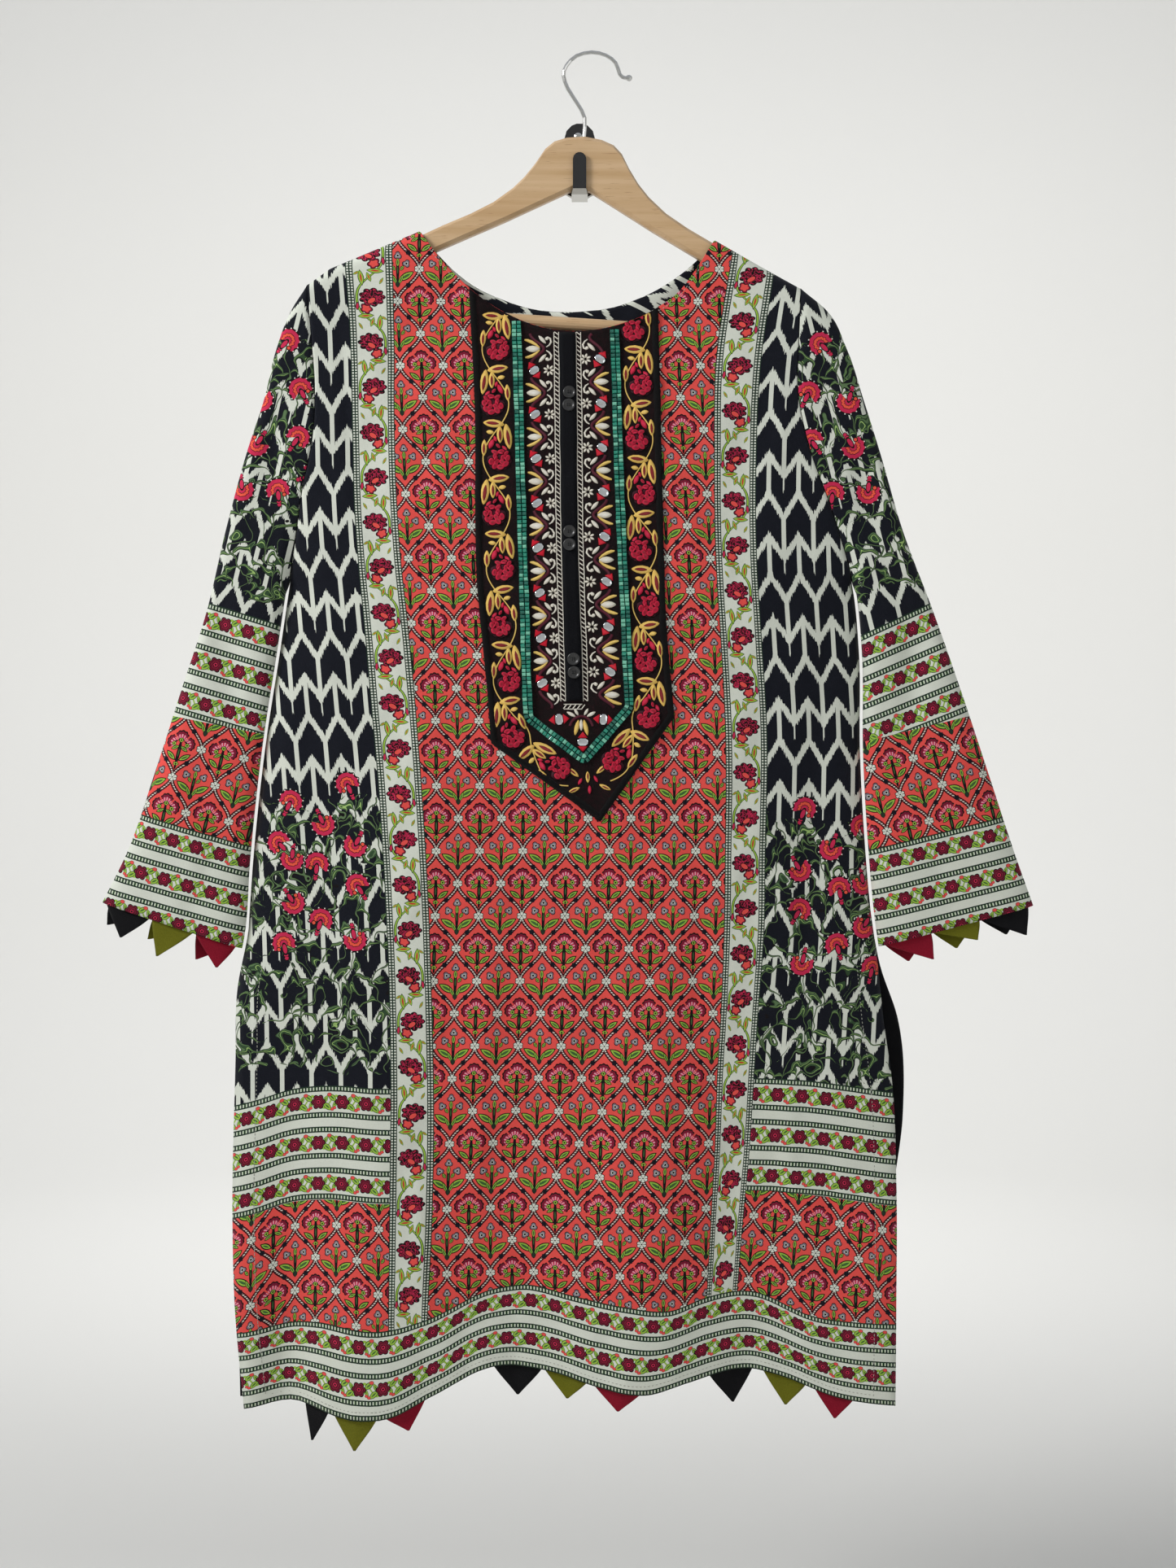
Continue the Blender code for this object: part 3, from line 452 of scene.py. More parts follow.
def trellis_print():
    p = Print("trellis_print")
    width, height = LATTICE
    fans = p.tile(p.uv, width, height)
    x, y = p.split(fans)
    turn = p.calc("MULTIPLY", y, 2 * math.pi / height)
    reach = p.calc("MULTIPLY_ADD", p.calc("COSINE", turn), width / 4, width / 4)
    off = p.calc("ABSOLUTE", p.calc("SUBTRACT", p.calc("ABSOLUTE", x), reach))
    steep = p.calc("MULTIPLY", p.calc("SINE", turn), width / 2 * math.pi / height)
    lean = p.calc("SQRT", p.calc("MULTIPLY_ADD", steep, steep, 1.0))
    off = p.calc("DIVIDE", off, lean)
    colour = p.stamp(CORAL, p.calc("DIVIDE", off, 2.0), ((0, BROWN_RED), (0.5, DARK), (0.82, None)))
    along = p.calc("WRAP", y, 0.85, -0.85)
    bead = p.vector("LENGTH", p.join(off, along))
    colour = p.stamp(colour, bead, ((0, OFFWHITE), (0.56, None)))
    quarter = p.tile(p.uv, width / 2, height / 2, width / 4, height / 4)
    knot, _ = p.petals(quarter, 2.3, 5, 0.3)
    colour = p.stamp(colour, knot, ((0, INK), (1.0, None)))

    below = p.tile(p.uv, width, height, 0, height / 2)
    beside = p.tile(p.uv, width, height, width / 2, 0)
    near = p.calc("LESS_THAN", p.vector("LENGTH", below), width / 4)
    nearest = p.vector("SCALE", p.vector("SUBTRACT", below, beside), None, None, near)
    rosette = p.vector("ADD", beside, nearest)
    edge, wave = p.petals(rosette, 1.0, 6, 0.2, 0, 0, 3.6, 4.4, 90)
    white = p.mix(p.calc("LESS_THAN", wave, 0.28), OFFWHITE, DARK)
    colour = p.stamp(colour, edge, ((0, DARK), (1.0, None)))
    petal = p.mix(p.calc("LESS_THAN", edge, 0.86), colour, white)
    colour = p.stamp(petal, edge, ((0, DARK), (0.16, OFFWHITE), (0.3, None)))

    # The fan: three fan petals round a point above the cell's middle
    centre = p.vector("SUBTRACT", fans, (0, 0.5, 0))
    cx, cy = p.split(centre)
    angle = p.calc("ARCTAN2", cx, cy)
    part = p.calc("WRAP", angle, math.radians(38), math.radians(-38))
    tip = p.calc("MULTIPLY_ADD", p.calc("MULTIPLY", part, part), -6.5, 11.6)
    scallop = p.calc("ABSOLUTE", p.calc("COSINE", p.calc("MULTIPLY", part, 11.0)))
    edge = p.calc("DIVIDE", p.vector("LENGTH", centre), p.calc("MULTIPLY_ADD", scallop, 0.7, tip))
    wide = p.calc("GREATER_THAN", p.calc("ABSOLUTE", angle), math.radians(113))
    gap = p.calc("GREATER_THAN", p.calc("ABSOLUTE", part), math.radians(34))
    edge = p.calc("ADD", edge, p.calc("MAXIMUM", wide, gap))
    rays = p.calc("GREATER_THAN", p.calc("COSINE", p.calc("MULTIPLY", part, 22.0)), 0.1)
    tips = p.mix(rays, CRIMSON, PINK)
    rings = ((0, CORAL), (0.36, DARK), (0.48, PINK), (0.68, MAROON), (0.9, DARK), (1.0, None))
    fan, alpha = p.ramp(edge, rings)
    colour = p.mix(alpha, colour, fan)
    band = p.calc("MULTIPLY", p.calc("GREATER_THAN", edge, 0.5), p.calc("LESS_THAN", edge, 0.72))
    colour = p.mix(band, colour, tips)
    halves = p.mirrored(fans)
    stem = ((0, LEAF), (0.3, DARK), (1.0, None))
    lime = ((0, LEAF), (0.3, LIME), (0.62, DARK), (1.0, None))
    floret = ((0, DARK), (0.35, LIME), (0.75, DARK), (1.0, None))
    colour = p.stamp(colour, p.ellipse(fans, 0, -6, 1.5, 10.5), stem)
    colour = p.stamp(colour, p.leaf(halves, 5.6, -9.0, 5.6, 2.3, 36), lime)
    colour = p.stamp(colour, p.leaf(halves, 3.6, -2.2, 3.8, 1.7, 150), lime)
    for field, *place in ((halves, 2.2, 5, 0.3, 5.4, 0.8, 1, 1), (fans, 2.2, 5, 0.3, 0, 4.4, 1, 1),
                          (fans, 2.6, 5, 0.4, 0, -15.0, 1, 0.8)):
        colour = p.stamp(colour, p.petals(field, *place)[0], floret)
    colour = p.stamp(colour, p.leaf(fans, 0, -17.6, 2.2, 0.9, 90), ((0, DARK), (1.0, None)))

    # The leafy plant in the cells between
    plants = p.tile(p.uv, width, height, width / 2, height / 2)
    halves = p.mirrored(plants)
    colour = p.stamp(colour, p.ellipse(plants, 0, -1, 1.3, 10.0), stem)
    broad = ((0, LEAF), (0.34, LIME), (0.72, DARK), (1.0, None))
    foot = ((0, DEEP_GREEN), (0.8, DARK), (1.0, None))
    leaves = (
        (broad, halves, 6.7, -5.9, 7.4, 2.9, 31), (broad, halves, 2.4, -8.8, 4.6, 1.5, 64),
        (broad, plants, 0, 5.2, 3.6, 1.6, 90), (lime, halves, 3.4, 0.6, 2.6, 1.5, 55),
        (foot, plants, 0, -12.5, 2.8, 1.9, 90),
    )
    for look, field, *place in leaves:
        colour = p.stamp(colour, p.leaf(field, *place), look)
    bloom = ((0, DARK), (0.3, OFFWHITE), (0.42, GREY_VIOLET), (0.8, DARK), (1.0, None))
    colour = p.stamp(colour, p.petals(halves, 3.5, 3, 0.36, 6.9, 4.2, 1, 1, 60)[0], bloom)
    colour = p.stamp(colour, p.petals(plants, 3.5, 3, 0.36, 0, 10.6, 1, 1, 90)[0], bloom)
    return p.finish(colour)


# The carnation border: its width, its repeat and where its checked edges begin
BORDER_WIDTH, BORDER_REPEAT, BORDER_CHECK = 35.0, 36.3, 12.0


def checks(p, under, across, along, inside):
    """Two columns of small pale squares on dark green."""
    square_x = p.calc("ABSOLUTE", p.calc("WRAP", across, 1.25, -1.25))
    square_y = p.calc("ABSOLUTE", p.calc("WRAP", along, 1.15, -1.15))
    pale = p.calc("MULTIPLY", p.calc("LESS_THAN", square_x, 0.72), p.calc("LESS_THAN", square_y, 0.68))
    return p.mix(inside, under, p.mix(pale, DEEP_GREEN, OFFWHITE))


def alternating(p, x, y):
    """Coordinates round the middles of the border's repeats, every second one mirrored across."""
    count = p.calc("FLOOR", p.calc("MULTIPLY_ADD", y, 1 / BORDER_REPEAT, 0.5))
    flip = p.calc("COSINE", p.calc("MULTIPLY", count, math.pi))
    return p.join(p.calc("MULTIPLY", x, flip), p.calc("WRAP", y, BORDER_REPEAT / 2, -BORDER_REPEAT / 2))


def border_print():
    p = Print("border_print")
    x, y = p.split(p.uv)
    inside = p.calc("GREATER_THAN", p.calc("ABSOLUTE", x), BORDER_CHECK)
    head = alternating(p, x, y)
    cross = alternating(p, x, p.calc("SUBTRACT", y, BORDER_REPEAT / 2))

    sway = p.calc("COSINE", p.calc("MULTIPLY", y, math.pi / BORDER_REPEAT))
    sway = p.calc("MULTIPLY", sway, p.calc("MULTIPLY_ADD", p.calc("MULTIPLY", sway, sway), -3.0, 13.5))
    vine = p.calc("ABSOLUTE", p.calc("ADD", x, sway))
    colour = p.stamp(OFFWHITE, p.calc("DIVIDE", vine, 1.5), ((0, LIME), (0.42, DEEP_GREEN), (0.8, None)))
    heart = ((0, colour_of(196, 60, 50)), (0.3, LIME), (0.78, DEEP_GREEN), (1.0, None))
    for place in ((-6.4, -1.0, 6.6, 2.3, 96), (4.4, 4.6, 6.6, 2.2, 176), (-0.6, -0.4, 4.2, 1.7, 110),
                  (8.6, -3.6, 3.2, 1.1, 60), (-9.6, 2.8, 3.0, 1.1, 30)):
        colour = p.stamp(colour, p.leaf(cross, *place), heart)
    bud = ((0, CRIMSON), (0.6, DEEP_GREEN), (1.0, None))
    colour = p.stamp(colour, p.leaf(head, -10.4, -5.6, 3.6, 1.6, 84), bud)
    calyx = ((0, CORAL), (0.66, MAROON), (0.86, DARK), (1.0, None))
    colour = p.stamp(colour, p.petals(head, 1.0, 5, 0.26, -3.6, -7.6, 4.6, 5.2, 62)[0], calyx)
    edge, _ = p.petals(head, 1.0, 9, 0.2, 1.2, 1.4, 10.4, 7.8)
    blots = p.noise(p.uv, 0.42, 1.0)
    flecks = p.ramp(blots, ((0, DARK), (0.38, MAROON), (0.46, CRIMSON), (0.52, MAROON), (0.6, DARK)))[0]
    colour = p.stamp(colour, edge, ((0, DARK), (1.0, None)))
    colour = p.mix(p.calc("LESS_THAN", edge, 0.9), colour, flecks)
    heart = ((0, CORAL), (0.72, DARK), (0.9, None))
    colour = p.stamp(colour, p.ellipse(head, 0.6, -1.2, 4.4, 2.4, 30), heart)
    colour = checks(p, colour, p.calc("SUBTRACT", p.calc("ABSOLUTE", x), BORDER_CHECK + 1.5), y, inside)
    return p.finish(colour)


# Cross bands: heights of check, roses, check and plain, and the roses' repeat
BAND_CHECK, BAND_ROSES, BAND_PLAIN, ROSE_REPEAT = 4.6, 16.0, 6.8, 19.5
BAND_REPEAT = 2 * BAND_CHECK + BAND_ROSES + BAND_PLAIN

# Half the step of a check's bars, and how far the vine between the roses swings
CHECK_BAR, VINE_SWING = 1.3, 4.6


def band_print():
    p = Print("band_print")
    x, y = p.split(p.uv)
    down = p.calc("WRAP", p.calc("MULTIPLY", y, -1.0), BAND_REPEAT, 0.0)
    in_check = p.calc("WRAP", down, BAND_CHECK + BAND_ROSES, 0.0)
    inside = p.calc("LESS_THAN", in_check, BAND_CHECK)
    height = p.calc("SUBTRACT", BAND_CHECK + BAND_ROSES / 2, down)
    in_roses = p.calc("LESS_THAN", p.calc("ABSOLUTE", height), BAND_ROSES / 2)
    swing = p.calc("SINE", p.calc("MULTIPLY", x, 2 * math.pi / ROSE_REPEAT))
    vine = p.calc("ABSOLUTE", p.calc("SUBTRACT", height, p.calc("MULTIPLY", swing, VINE_SWING)))
    colour = p.stamp(OFFWHITE, p.calc("DIVIDE", vine, 3.0), ((0, LIME), (0.34, None)))
    half = ROSE_REPEAT / 2
    at = p.join(p.calc("WRAP", x, half, -half), height)
    between = p.join(p.calc("WRAP", p.calc("SUBTRACT", x, half), half, -half), height)
    lime = ((0, LEAF), (0.25, LIME), (0.8, DEEP_GREEN), (1.0, None))
    for place in ((-1.6, 3.4, 5.0, 2.3, 40), (2.4, -3.6, 5.0, 2.3, 40), (-4.4, -1.2, 4.2, 1.7, 130),
                  (4.0, 1.6, 4.2, 1.7, 120)):
        colour = p.stamp(colour, p.leaf(between, *place), lime)
    bud = ((0, CORAL), (0.8, MAROON), (1.0, None))
    for field, *place in ((between, 0.6, 5.6, 1.9, 1.5), (between, -1.6, -5.8, 1.5, 1.3),
                          (at, 6.2, -4.6, 1.4, 1.2)):
        colour = p.stamp(colour, p.ellipse(field, *place), bud)
    rings = ((0, DARK), (0.14, CRIMSON), (0.28, DARK), (0.38, MAROON), (0.62, DARK), (0.7, MAROON),
             (0.84, DARK), (1.0, None))
    colour = p.stamp(colour, p.petals(at, 6.1, 6, 0.24)[0], rings)
    colour = p.mix(in_roses, OFFWHITE, colour)
    bars = p.calc("ABSOLUTE", p.calc("WRAP", x, CHECK_BAR, -CHECK_BAR))
    tall = p.calc("ABSOLUTE", p.calc("SUBTRACT", in_check, BAND_CHECK / 2))
    bar = p.calc("MULTIPLY", p.calc("LESS_THAN", bars, 0.6), p.calc("LESS_THAN", tall, BAND_CHECK / 2 - 1.1))
    other = p.calc("GREATER_THAN", p.calc("WRAP", x, 4 * CHECK_BAR, 0.0), 2 * CHECK_BAR)
    check = p.mix(bar, DEEP_GREEN, p.mix(other, OFFWHITE, PALE_GREEN))
    return p.finish(p.mix(inside, colour, check))


# The feathered chevrons: their repeat across and down, with the drop of each zigzag and where it starts
IKAT_ACROSS, IKAT_DOWN = 24.0, 66.0
UPPER_DROP, LOWER_START, LOWER_END = 0.31, 0.53, 0.80

# Half widths of its zigzags, stems and spikes, a spike's half length and drop, how far its edges run
IKAT_ZIGZAG, IKAT_STEM, IKAT_SPIKE = 2.2, 1.8, 0.6
SPIKE_REACH, SPIKE_DROP, IKAT_FEATHER = 6.0, 0.09, 7.0

# Carnation heads: (across, up, turn), first the panels', then the sleeves'
SLEEVE_PRINT = -2000.0
HEADS = (
    (21, -389, 20), (68, -403, -30), (43, -421, 200), (18, -438, 150), (80, -436, 40), (50, -453, -10),
    (70, -449, 170), (18, -470, 30), (71, -484, 210), (49, -498, -20), (22, -513, 190), (80, -517, 10),
    (-4, -2049, 30), (15, -2085, -40), (-14, -2100, 150), (22, -2123, 20), (-9, -2136, 200), (16, -2168, -20),
    (-12, -2174, 160), (40, -2150, 60),
)
HEAD_RADIUS, HEAD_SCALLOPS, HEAD_OPENS = 10.6, 13.0, math.radians(122)
LEAF_REACH, LEAF_WIDE = 14.0, 12.0
LEAF_WANDER_SCALE, LEAF_WANDER = 0.03, 52.0

# Where leaves grow: the middle and half height of each field of print, and their tiles
LEAF_FIELDS = ((481.0, 110.0), (2124.0, 106.0))
LEAF_TILES = ((44, 19, 4, 0), (39, 25, 24, 9))


def ikat_print(flowers):
    p = Print("ikat_flower_print" if flowers else "ikat_print")
    streaks = p.noise(p.vector("MULTIPLY", p.uv, (1.3, 0.07, 1)), 1.0, 1.0)
    x, y = p.split(p.uv)
    y = p.calc("MULTIPLY_ADD", streaks, IKAT_FEATHER, y)
    half = IKAT_ACROSS / 2
    side = p.calc("PINGPONG", x, half)
    level = p.calc("WRAP", y, 0.0, -IKAT_DOWN)

    def zigzag(start, end):
        steep = (end - start) * IKAT_DOWN / half
        rise = p.calc("MULTIPLY_ADD", side, steep, p.calc("ADD", y, start * IKAT_DOWN))
        rise = p.calc("ABSOLUTE", p.calc("WRAP", rise, IKAT_DOWN / 2, -IKAT_DOWN / 2))
        return p.calc("LESS_THAN", rise, IKAT_ZIGZAG * math.hypot(1, steep))

    def outer_stem(middle, reach, half_width):
        far = p.calc("ABSOLUTE", p.calc("ADD", level, middle * IKAT_DOWN))
        near = p.calc("LESS_THAN", far, reach)
        return p.calc("MULTIPLY", p.calc("GREATER_THAN", side, half - half_width), near)

    inner = p.calc("MULTIPLY", p.calc("LESS_THAN", side, IKAT_STEM),
                   p.calc("LESS_THAN", level, -LOWER_START * IKAT_DOWN))
    outer = outer_stem((UPPER_DROP + LOWER_END) / 2, (LOWER_END - UPPER_DROP) / 2 * IKAT_DOWN, IKAT_STEM)
    spike = outer_stem(LOWER_END + SPIKE_DROP, SPIKE_REACH, IKAT_SPIKE)
    white = zigzag(0, UPPER_DROP)
    for part in (zigzag(LOWER_START, LOWER_END), inner, outer, spike):
        white = p.calc("MAXIMUM", white, part)
    colour = p.mix(white, INK, OFFWHITE)
    if flowers:
        colour = carnations(p, colour)
    return p.finish(colour)


def arching_leaves(p, under, where, width, height, x, y):
    """Pairs of curved leaves on a stem, with a pale line along each."""
    spot = p.mirrored(p.tile(where, width, height, x, y))
    out, up = p.split(spot)
    middle = p.calc("MULTIPLY", out, p.calc("MULTIPLY_ADD", out, -1.9 / LEAF_REACH, 1.75))
    middle = p.calc("SUBTRACT", p.calc("ADD", up, height / 4), middle)
    wide = p.calc("MULTIPLY", out, p.calc("SUBTRACT", LEAF_REACH, out))
    wide = p.calc("MULTIPLY", wide, LEAF_WIDE / LEAF_REACH**2)
    leaf = p.calc("DIVIDE", p.calc("ADD", middle, wide), p.calc("MULTIPLY", wide, 2.0))
    colour = p.stamp(under, leaf, ((0, None), (0.01, DARK), (0.1, BLADE), (0.36, PALE_LINE), (0.46, BLADE),
                                   (0.64, BLADE_PALE), (0.8, BLADE), (0.9, DARK), (0.98, None)))
    return p.stamp(colour, out, ((0, BLADE_PALE), (0.4, DARK), (0.9, None)))


def carnations(p, under):
    """Arching leaves, then fan-shaped heads with a neck at their places."""
    warp = p.add("TexNoise", noise_dimensions="2D")
    warp.inputs["Scale"].default_value = LEAF_WANDER_SCALE
    p.tree.links.new(p.uv, warp.inputs["Vector"])
    bent = p.vector("ADD", p.uv, p.vector("SCALE", warp.outputs[1], None, None, LEAF_WANDER))
    _, y = p.split(bent)
    fields = [p.calc("LESS_THAN", p.calc("ABSOLUTE", p.calc("ADD", y, middle)), half)
              for middle, half in LEAF_FIELDS]
    leaves = under
    for tile in LEAF_TILES:
        leaves = arching_leaves(p, leaves, bent, *tile)
    colour = p.mix(p.calc("MAXIMUM", *fields), under, leaves)
    at, turned, nearest = p.uv, 0.0, 1000.0
    for across, up, degrees in HEADS:
        away = p.vector("SUBTRACT", p.uv, (across, up, 0))
        far = p.vector("LENGTH", away)
        nearer = p.calc("LESS_THAN", far, nearest)
        nearest = p.calc("MINIMUM", far, nearest)
        at = p.mix(nearer, at, away)
        change = p.calc("SUBTRACT", math.radians(degrees), turned)
        turned = p.calc("MULTIPLY_ADD", change, nearer, turned)
    rotate = p.add("VectorRotate", rotation_type="Z_AXIS")
    p.tree.links.new(at, rotate.inputs["Vector"])
    p.tree.links.new(turned, rotate.inputs["Angle"])
    head = rotate.outputs[0]
    hx, hy = p.split(head)
    angle = p.calc("ARCTAN2", hx, hy)
    radius = p.vector("LENGTH", head)
    neck = ((0, CRIMSON), (0.72, DARK), (1.0, None))
    colour = p.stamp(colour, p.petals(head, 1.0, 6, 0.3, 0, -11.6, 2.3, 2.3)[0], neck)
    colour = p.stamp(colour, p.ellipse(head, 0, -9.4, 2.4, 1.2), neck)
    wave = p.calc("COSINE", p.calc("MULTIPLY", angle, HEAD_SCALLOPS))
    edge = p.calc("DIVIDE", radius, p.calc("MULTIPLY_ADD", wave, 0.4, HEAD_RADIUS))
    ripple = p.calc("MULTIPLY_ADD", p.calc("COSINE", p.calc("MULTIPLY", angle, 11.0)), 0.028, edge)
    closed = p.calc("LESS_THAN", p.calc("ABSOLUTE", angle), HEAD_OPENS)
    rings = ((0, CRIMSON), (0.27, DARK), (0.32, FLAME), (0.52, DARK), (0.57, CRIMSON), (0.86, DARK),
             (1.0, None))
    flower, alpha = p.ramp(ripple, rings)
    colour = p.mix(p.calc("MULTIPLY", alpha, closed), colour, flower)
    step = math.pi / HEAD_SCALLOPS
    turn = p.calc("MULTIPLY", p.calc("WRAP", angle, step, -step), radius)
    dot = p.vector("LENGTH", p.join(turn, p.calc("SUBTRACT", radius, 0.95 * HEAD_RADIUS)))
    dots, alpha = p.ramp(dot, ((0, OFFWHITE), (0.55, None)))
    colour = p.mix(p.calc("MULTIPLY", alpha, closed), colour, dots)
    colour = p.stamp(colour, p.ellipse(head, 0, -4.2, 2.3, 5.2), neck)
    return p.stamp(colour, p.ellipse(head, 4.9, -3.9, 2.0, 2.0), ((0, FLAME), (0.66, DARK), (1.0, None)))


def plain_cloth(name, colour, **look):
    p = Print(name)
    fleck = p.noise(p.uv, 0.9)
    darker = tuple(c * 0.7 for c in colour[:3]) + (1.0,)
    return p.finish(p.mix(fleck, darker, colour), **look)


# Stage, light and camera

CAMERA_AT = (6.8, -1640.0, -509.0)
VIEW_HEIGHT = 1256.0
GARMENT_Y = -40.0
SENSOR = 32.0
FLOOR_Z, BOWL_RADIUS, BOWL_BEND, BOWL_TOP = -1330.0, 4200.0, 1500.0, 2600.0
BOWL_SIDES = 96
WORLD_LIGHT = 0.52

# Soft lights: place, aim, size, power in watts
LIGHTS = (
    ("window", (-1650, -950, 750), (0, 0, -420), 700, 33),
    ("room", (1900, -1700, -100), (0, 0, -520), 1700, 5),
    ("wall", (0, 1500, 900), (0, 4200, -300), 2500, 46),
)


def stage_material():
    made = bpy.data.materials.new("pale_stage")
    made.use_nodes = True
    tree = made.node_tree
    shader = tree.nodes["Principled BSDF"]
    noise = tree.nodes.new("ShaderNodeTexNoise")
    noise.inputs["Scale"].default_value = 3.0
    ramp = tree.nodes.new("ShaderNodeValToRGB")
    ramp.color_ramp.elements[0].color = colour_of(226, 225, 221)
    ramp.color_ramp.elements[1].color = colour_of(232, 231, 228)
    tree.links.new(noise.outputs[0], ramp.inputs[0])
    tree.links.new(ramp.outputs[0], shader.inputs["Base Color"])
    shader.inputs["Roughness"].default_value = 0.9
    return made


def stage():
    """A pale bowl: a flat floor that curves up into a far wall on all sides."""
    bends = np.linspace(0, math.pi / 2, 12)
    profile = [(BOWL_RADIUS - BOWL_BEND * (1 - math.sin(a)), FLOOR_Z + BOWL_BEND * (1 - math.cos(a)))
               for a in bends]
    profile.append((BOWL_RADIUS, BOWL_TOP))
    angles = np.linspace(0, 2 * math.pi, BOWL_SIDES, endpoint=False)
    points = [(r * math.cos(a) * MM, r * math.sin(a) * MM, z * MM) for r, z in profile for a in angles]
    faces = [list(range(BOWL_SIDES))]
    for ring in range(len(profile) - 1):
        for i in range(BOWL_SIDES):
            j = (i + 1) % BOWL_SIDES
            faces.append([ring * BOWL_SIDES + i, (ring + 1) * BOWL_SIDES + i, (ring + 1) * BOWL_SIDES + j,
                          ring * BOWL_SIDES + j])
    mesh = bpy.data.meshes.new("stage")
    mesh.from_pydata(points, [], faces)
    mesh.shade_smooth()
    mesh.materials.append(stage_material())
    bowl = bpy.data.objects.new("stage", mesh)
    bpy.context.scene.collection.objects.link(bowl)


def camera_and_lights():
    scene = bpy.context.scene
    world = bpy.data.worlds.new("room")
    scene.world = world
    world.use_nodes = True
    background = world.node_tree.nodes["Background"]
    background.inputs["Color"].default_value = colour_of(238, 242, 248)
    background.inputs["Strength"].default_value = WORLD_LIGHT
    scene.view_settings.view_transform = "Standard"
    lens = bpy.data.cameras.new("camera")
    lens.sensor_fit = "VERTICAL"
    lens.sensor_height = SENSOR
    lens.lens = SENSOR * (GARMENT_Y - CAMERA_AT[1]) / VIEW_HEIGHT
    camera = bpy.data.objects.new("camera", lens)
    camera.location = [c * MM for c in CAMERA_AT]
    camera.rotation_euler = (math.pi / 2, 0, 0)
    scene.collection.objects.link(camera)
    scene.camera = camera
    for name, place, target, size, power in LIGHTS:
        light = bpy.data.lights.new(name, "AREA")
        light.shape = "DISK"
        light.size = size * MM
        light.energy = power
        lamp = bpy.data.objects.new(name, light)
        lamp.location = [c * MM for c in place]
        aim = np.array(target) - np.array(place)
        tilt = math.atan2(math.hypot(aim[0], aim[1]), -aim[2])
        lamp.rotation_euler = (tilt, 0, math.atan2(-aim[0], aim[1]))
        scene.collection.objects.link(lamp)


# Cloth

SHELL = 0.8

# Small creases of the dressed cloth, as in the form's own tables, and how much of their height is used
FINE_SHARE = 1.4
FINE_CREASES = {
    -1: (
        (-196, -120, -176, -300, 6, -1.4), (-208, -330, -196, -470, 7, 1.5),
        (-184, -470, -200, -640, 8, -1.6),
        (168, -140, 158, -300, 6, 1.3), (206, -360, 190, -500, 7, -1.5), (160, -520, 176, -700, 8, 1.4),
        (-100, -560, -108, -760, 10, -1.6), (-70, -600, -84, -900, 9, 1.5), (92, -520, 100, -760, 9, -1.5),
        (20, -600, 8, -930, 12, -1.5), (60, -640, 74, -900, 9, 1.2), (-20, -640, -16, -860, 10, 1.2),
        (-240, -420, -226, -560, 7, 1.3), (218, -460, 222, -640, 7, 1.3), (-190, -760, -205, -960, 8, -1.8),
        (196, -780, 206, -960, 8, -1.8), (-140, -130, -110, -190, 6, -1.2), (96, -110, 84, -180, 6, -1.2),
        (-130, -800, -122, -960, 7, 1.4), (172, -700, 166, -900, 7, 1.4),
    ),
    1: (
        (-170, -140, -120, -330, 8, 1.5), (160, -140, 110, -330, 8, 1.5), (-60, -240, -70, -520, 11, -1.6),
        (40, -260, 46, -540, 11, 1.5), (-140, -520, -150, -820, 9, 1.6), (120, -540, 130, -860, 9, -1.6),
        (-30, -620, -24, -920, 12, 1.5), (200, -420, 190, -700, 8, 1.4), (-215, -420, -205, -700, 8, -1.4),
        (-90, -860, -84, -980, 8, -1.4), (60, -840, 66, -980, 8, 1.4),
    ),
}
SLEEVE_FINE = {
    "left": (
        (-250, -230, -262, -360, 7, 1.2), (-276, -300, -300, -430, 8, -1.4),
        (-318, -440, -330, -560, 8, 1.3), (-250, -400, -276, -520, 7, -1.2),
        (-286, -540, -318, -630, 7, -1.1), (-236, -300, -246, -420, 6, 1.1),
    ),
    "right": (
        (196, -240, 214, -340, 7, 1.2), (246, -300, 272, -440, 8, -1.4), (300, -440, 316, -560, 8, 1.3),
        (240, -420, 262, -540, 7, -1.2), (286, -560, 306, -632, 7, -1.1), (232, -420, 236, -520, 6, 1.1),
    ),
}

# Soft unevenness all over: wave lengths across and down, phase, height
UNEVEN = ((61, 97, 0.4, 0.45), (37, 143, 2.1, 0.35), (29, 41, 4.0, 0.22), (19, 71, 1.2, 0.14))


def uneven(x, z):
    total = 0
    for across, down, phase, height in UNEVEN:
        wander = 1.3 * np.sin(2 * math.pi * z / (down * 1.7) + 2 * phase)
        waves = np.sin(2 * math.pi * x / across + phase + wander) * np.sin(2 * math.pi * z / down)
        total = total + height * waves
    return total


def surface_y(x, z, face):
    """A panel's outer surface with the dressed cloth's small creases."""
    left, right = EDGES[face]
    side = np.clip(2 * (x - left(z)) / (right(z) - left(z)) - 1, -1, 1)
    calm = (1 - np.abs(side) ** 6) * smooth((ridge(x) - z - 10) / 50)
    extra = uneven(x, z) + sum(crease(x, z, row) for row in FINE_CREASES[face])
    return panel_y(x, z, face) + face * FINE_SHARE * extra * calm


def surface_point(x, z, face, out=0.0):
    """A point of the dressed cloth, moved out from it."""
    x, z = np.broadcast_arrays(np.asarray(x, float), np.asarray(z, float))
    step = SLOPE_STEP
    y = surface_y(x, z, face)
    slope_x = (surface_y(x + step, z, face) - surface_y(x - step, z, face)) / (2 * step)
    slope_z = (surface_y(x, z + step, face) - surface_y(x, z - step, face)) / (2 * step)
    away = unit(np.stack([-face * slope_x, np.full_like(y, face), -face * slope_z], -1))
    return np.stack([x, y, z], -1) + away * np.asarray(out)[..., None]


def unit(vectors):
    return vectors / np.linalg.norm(vectors, axis=-1, keepdims=True)


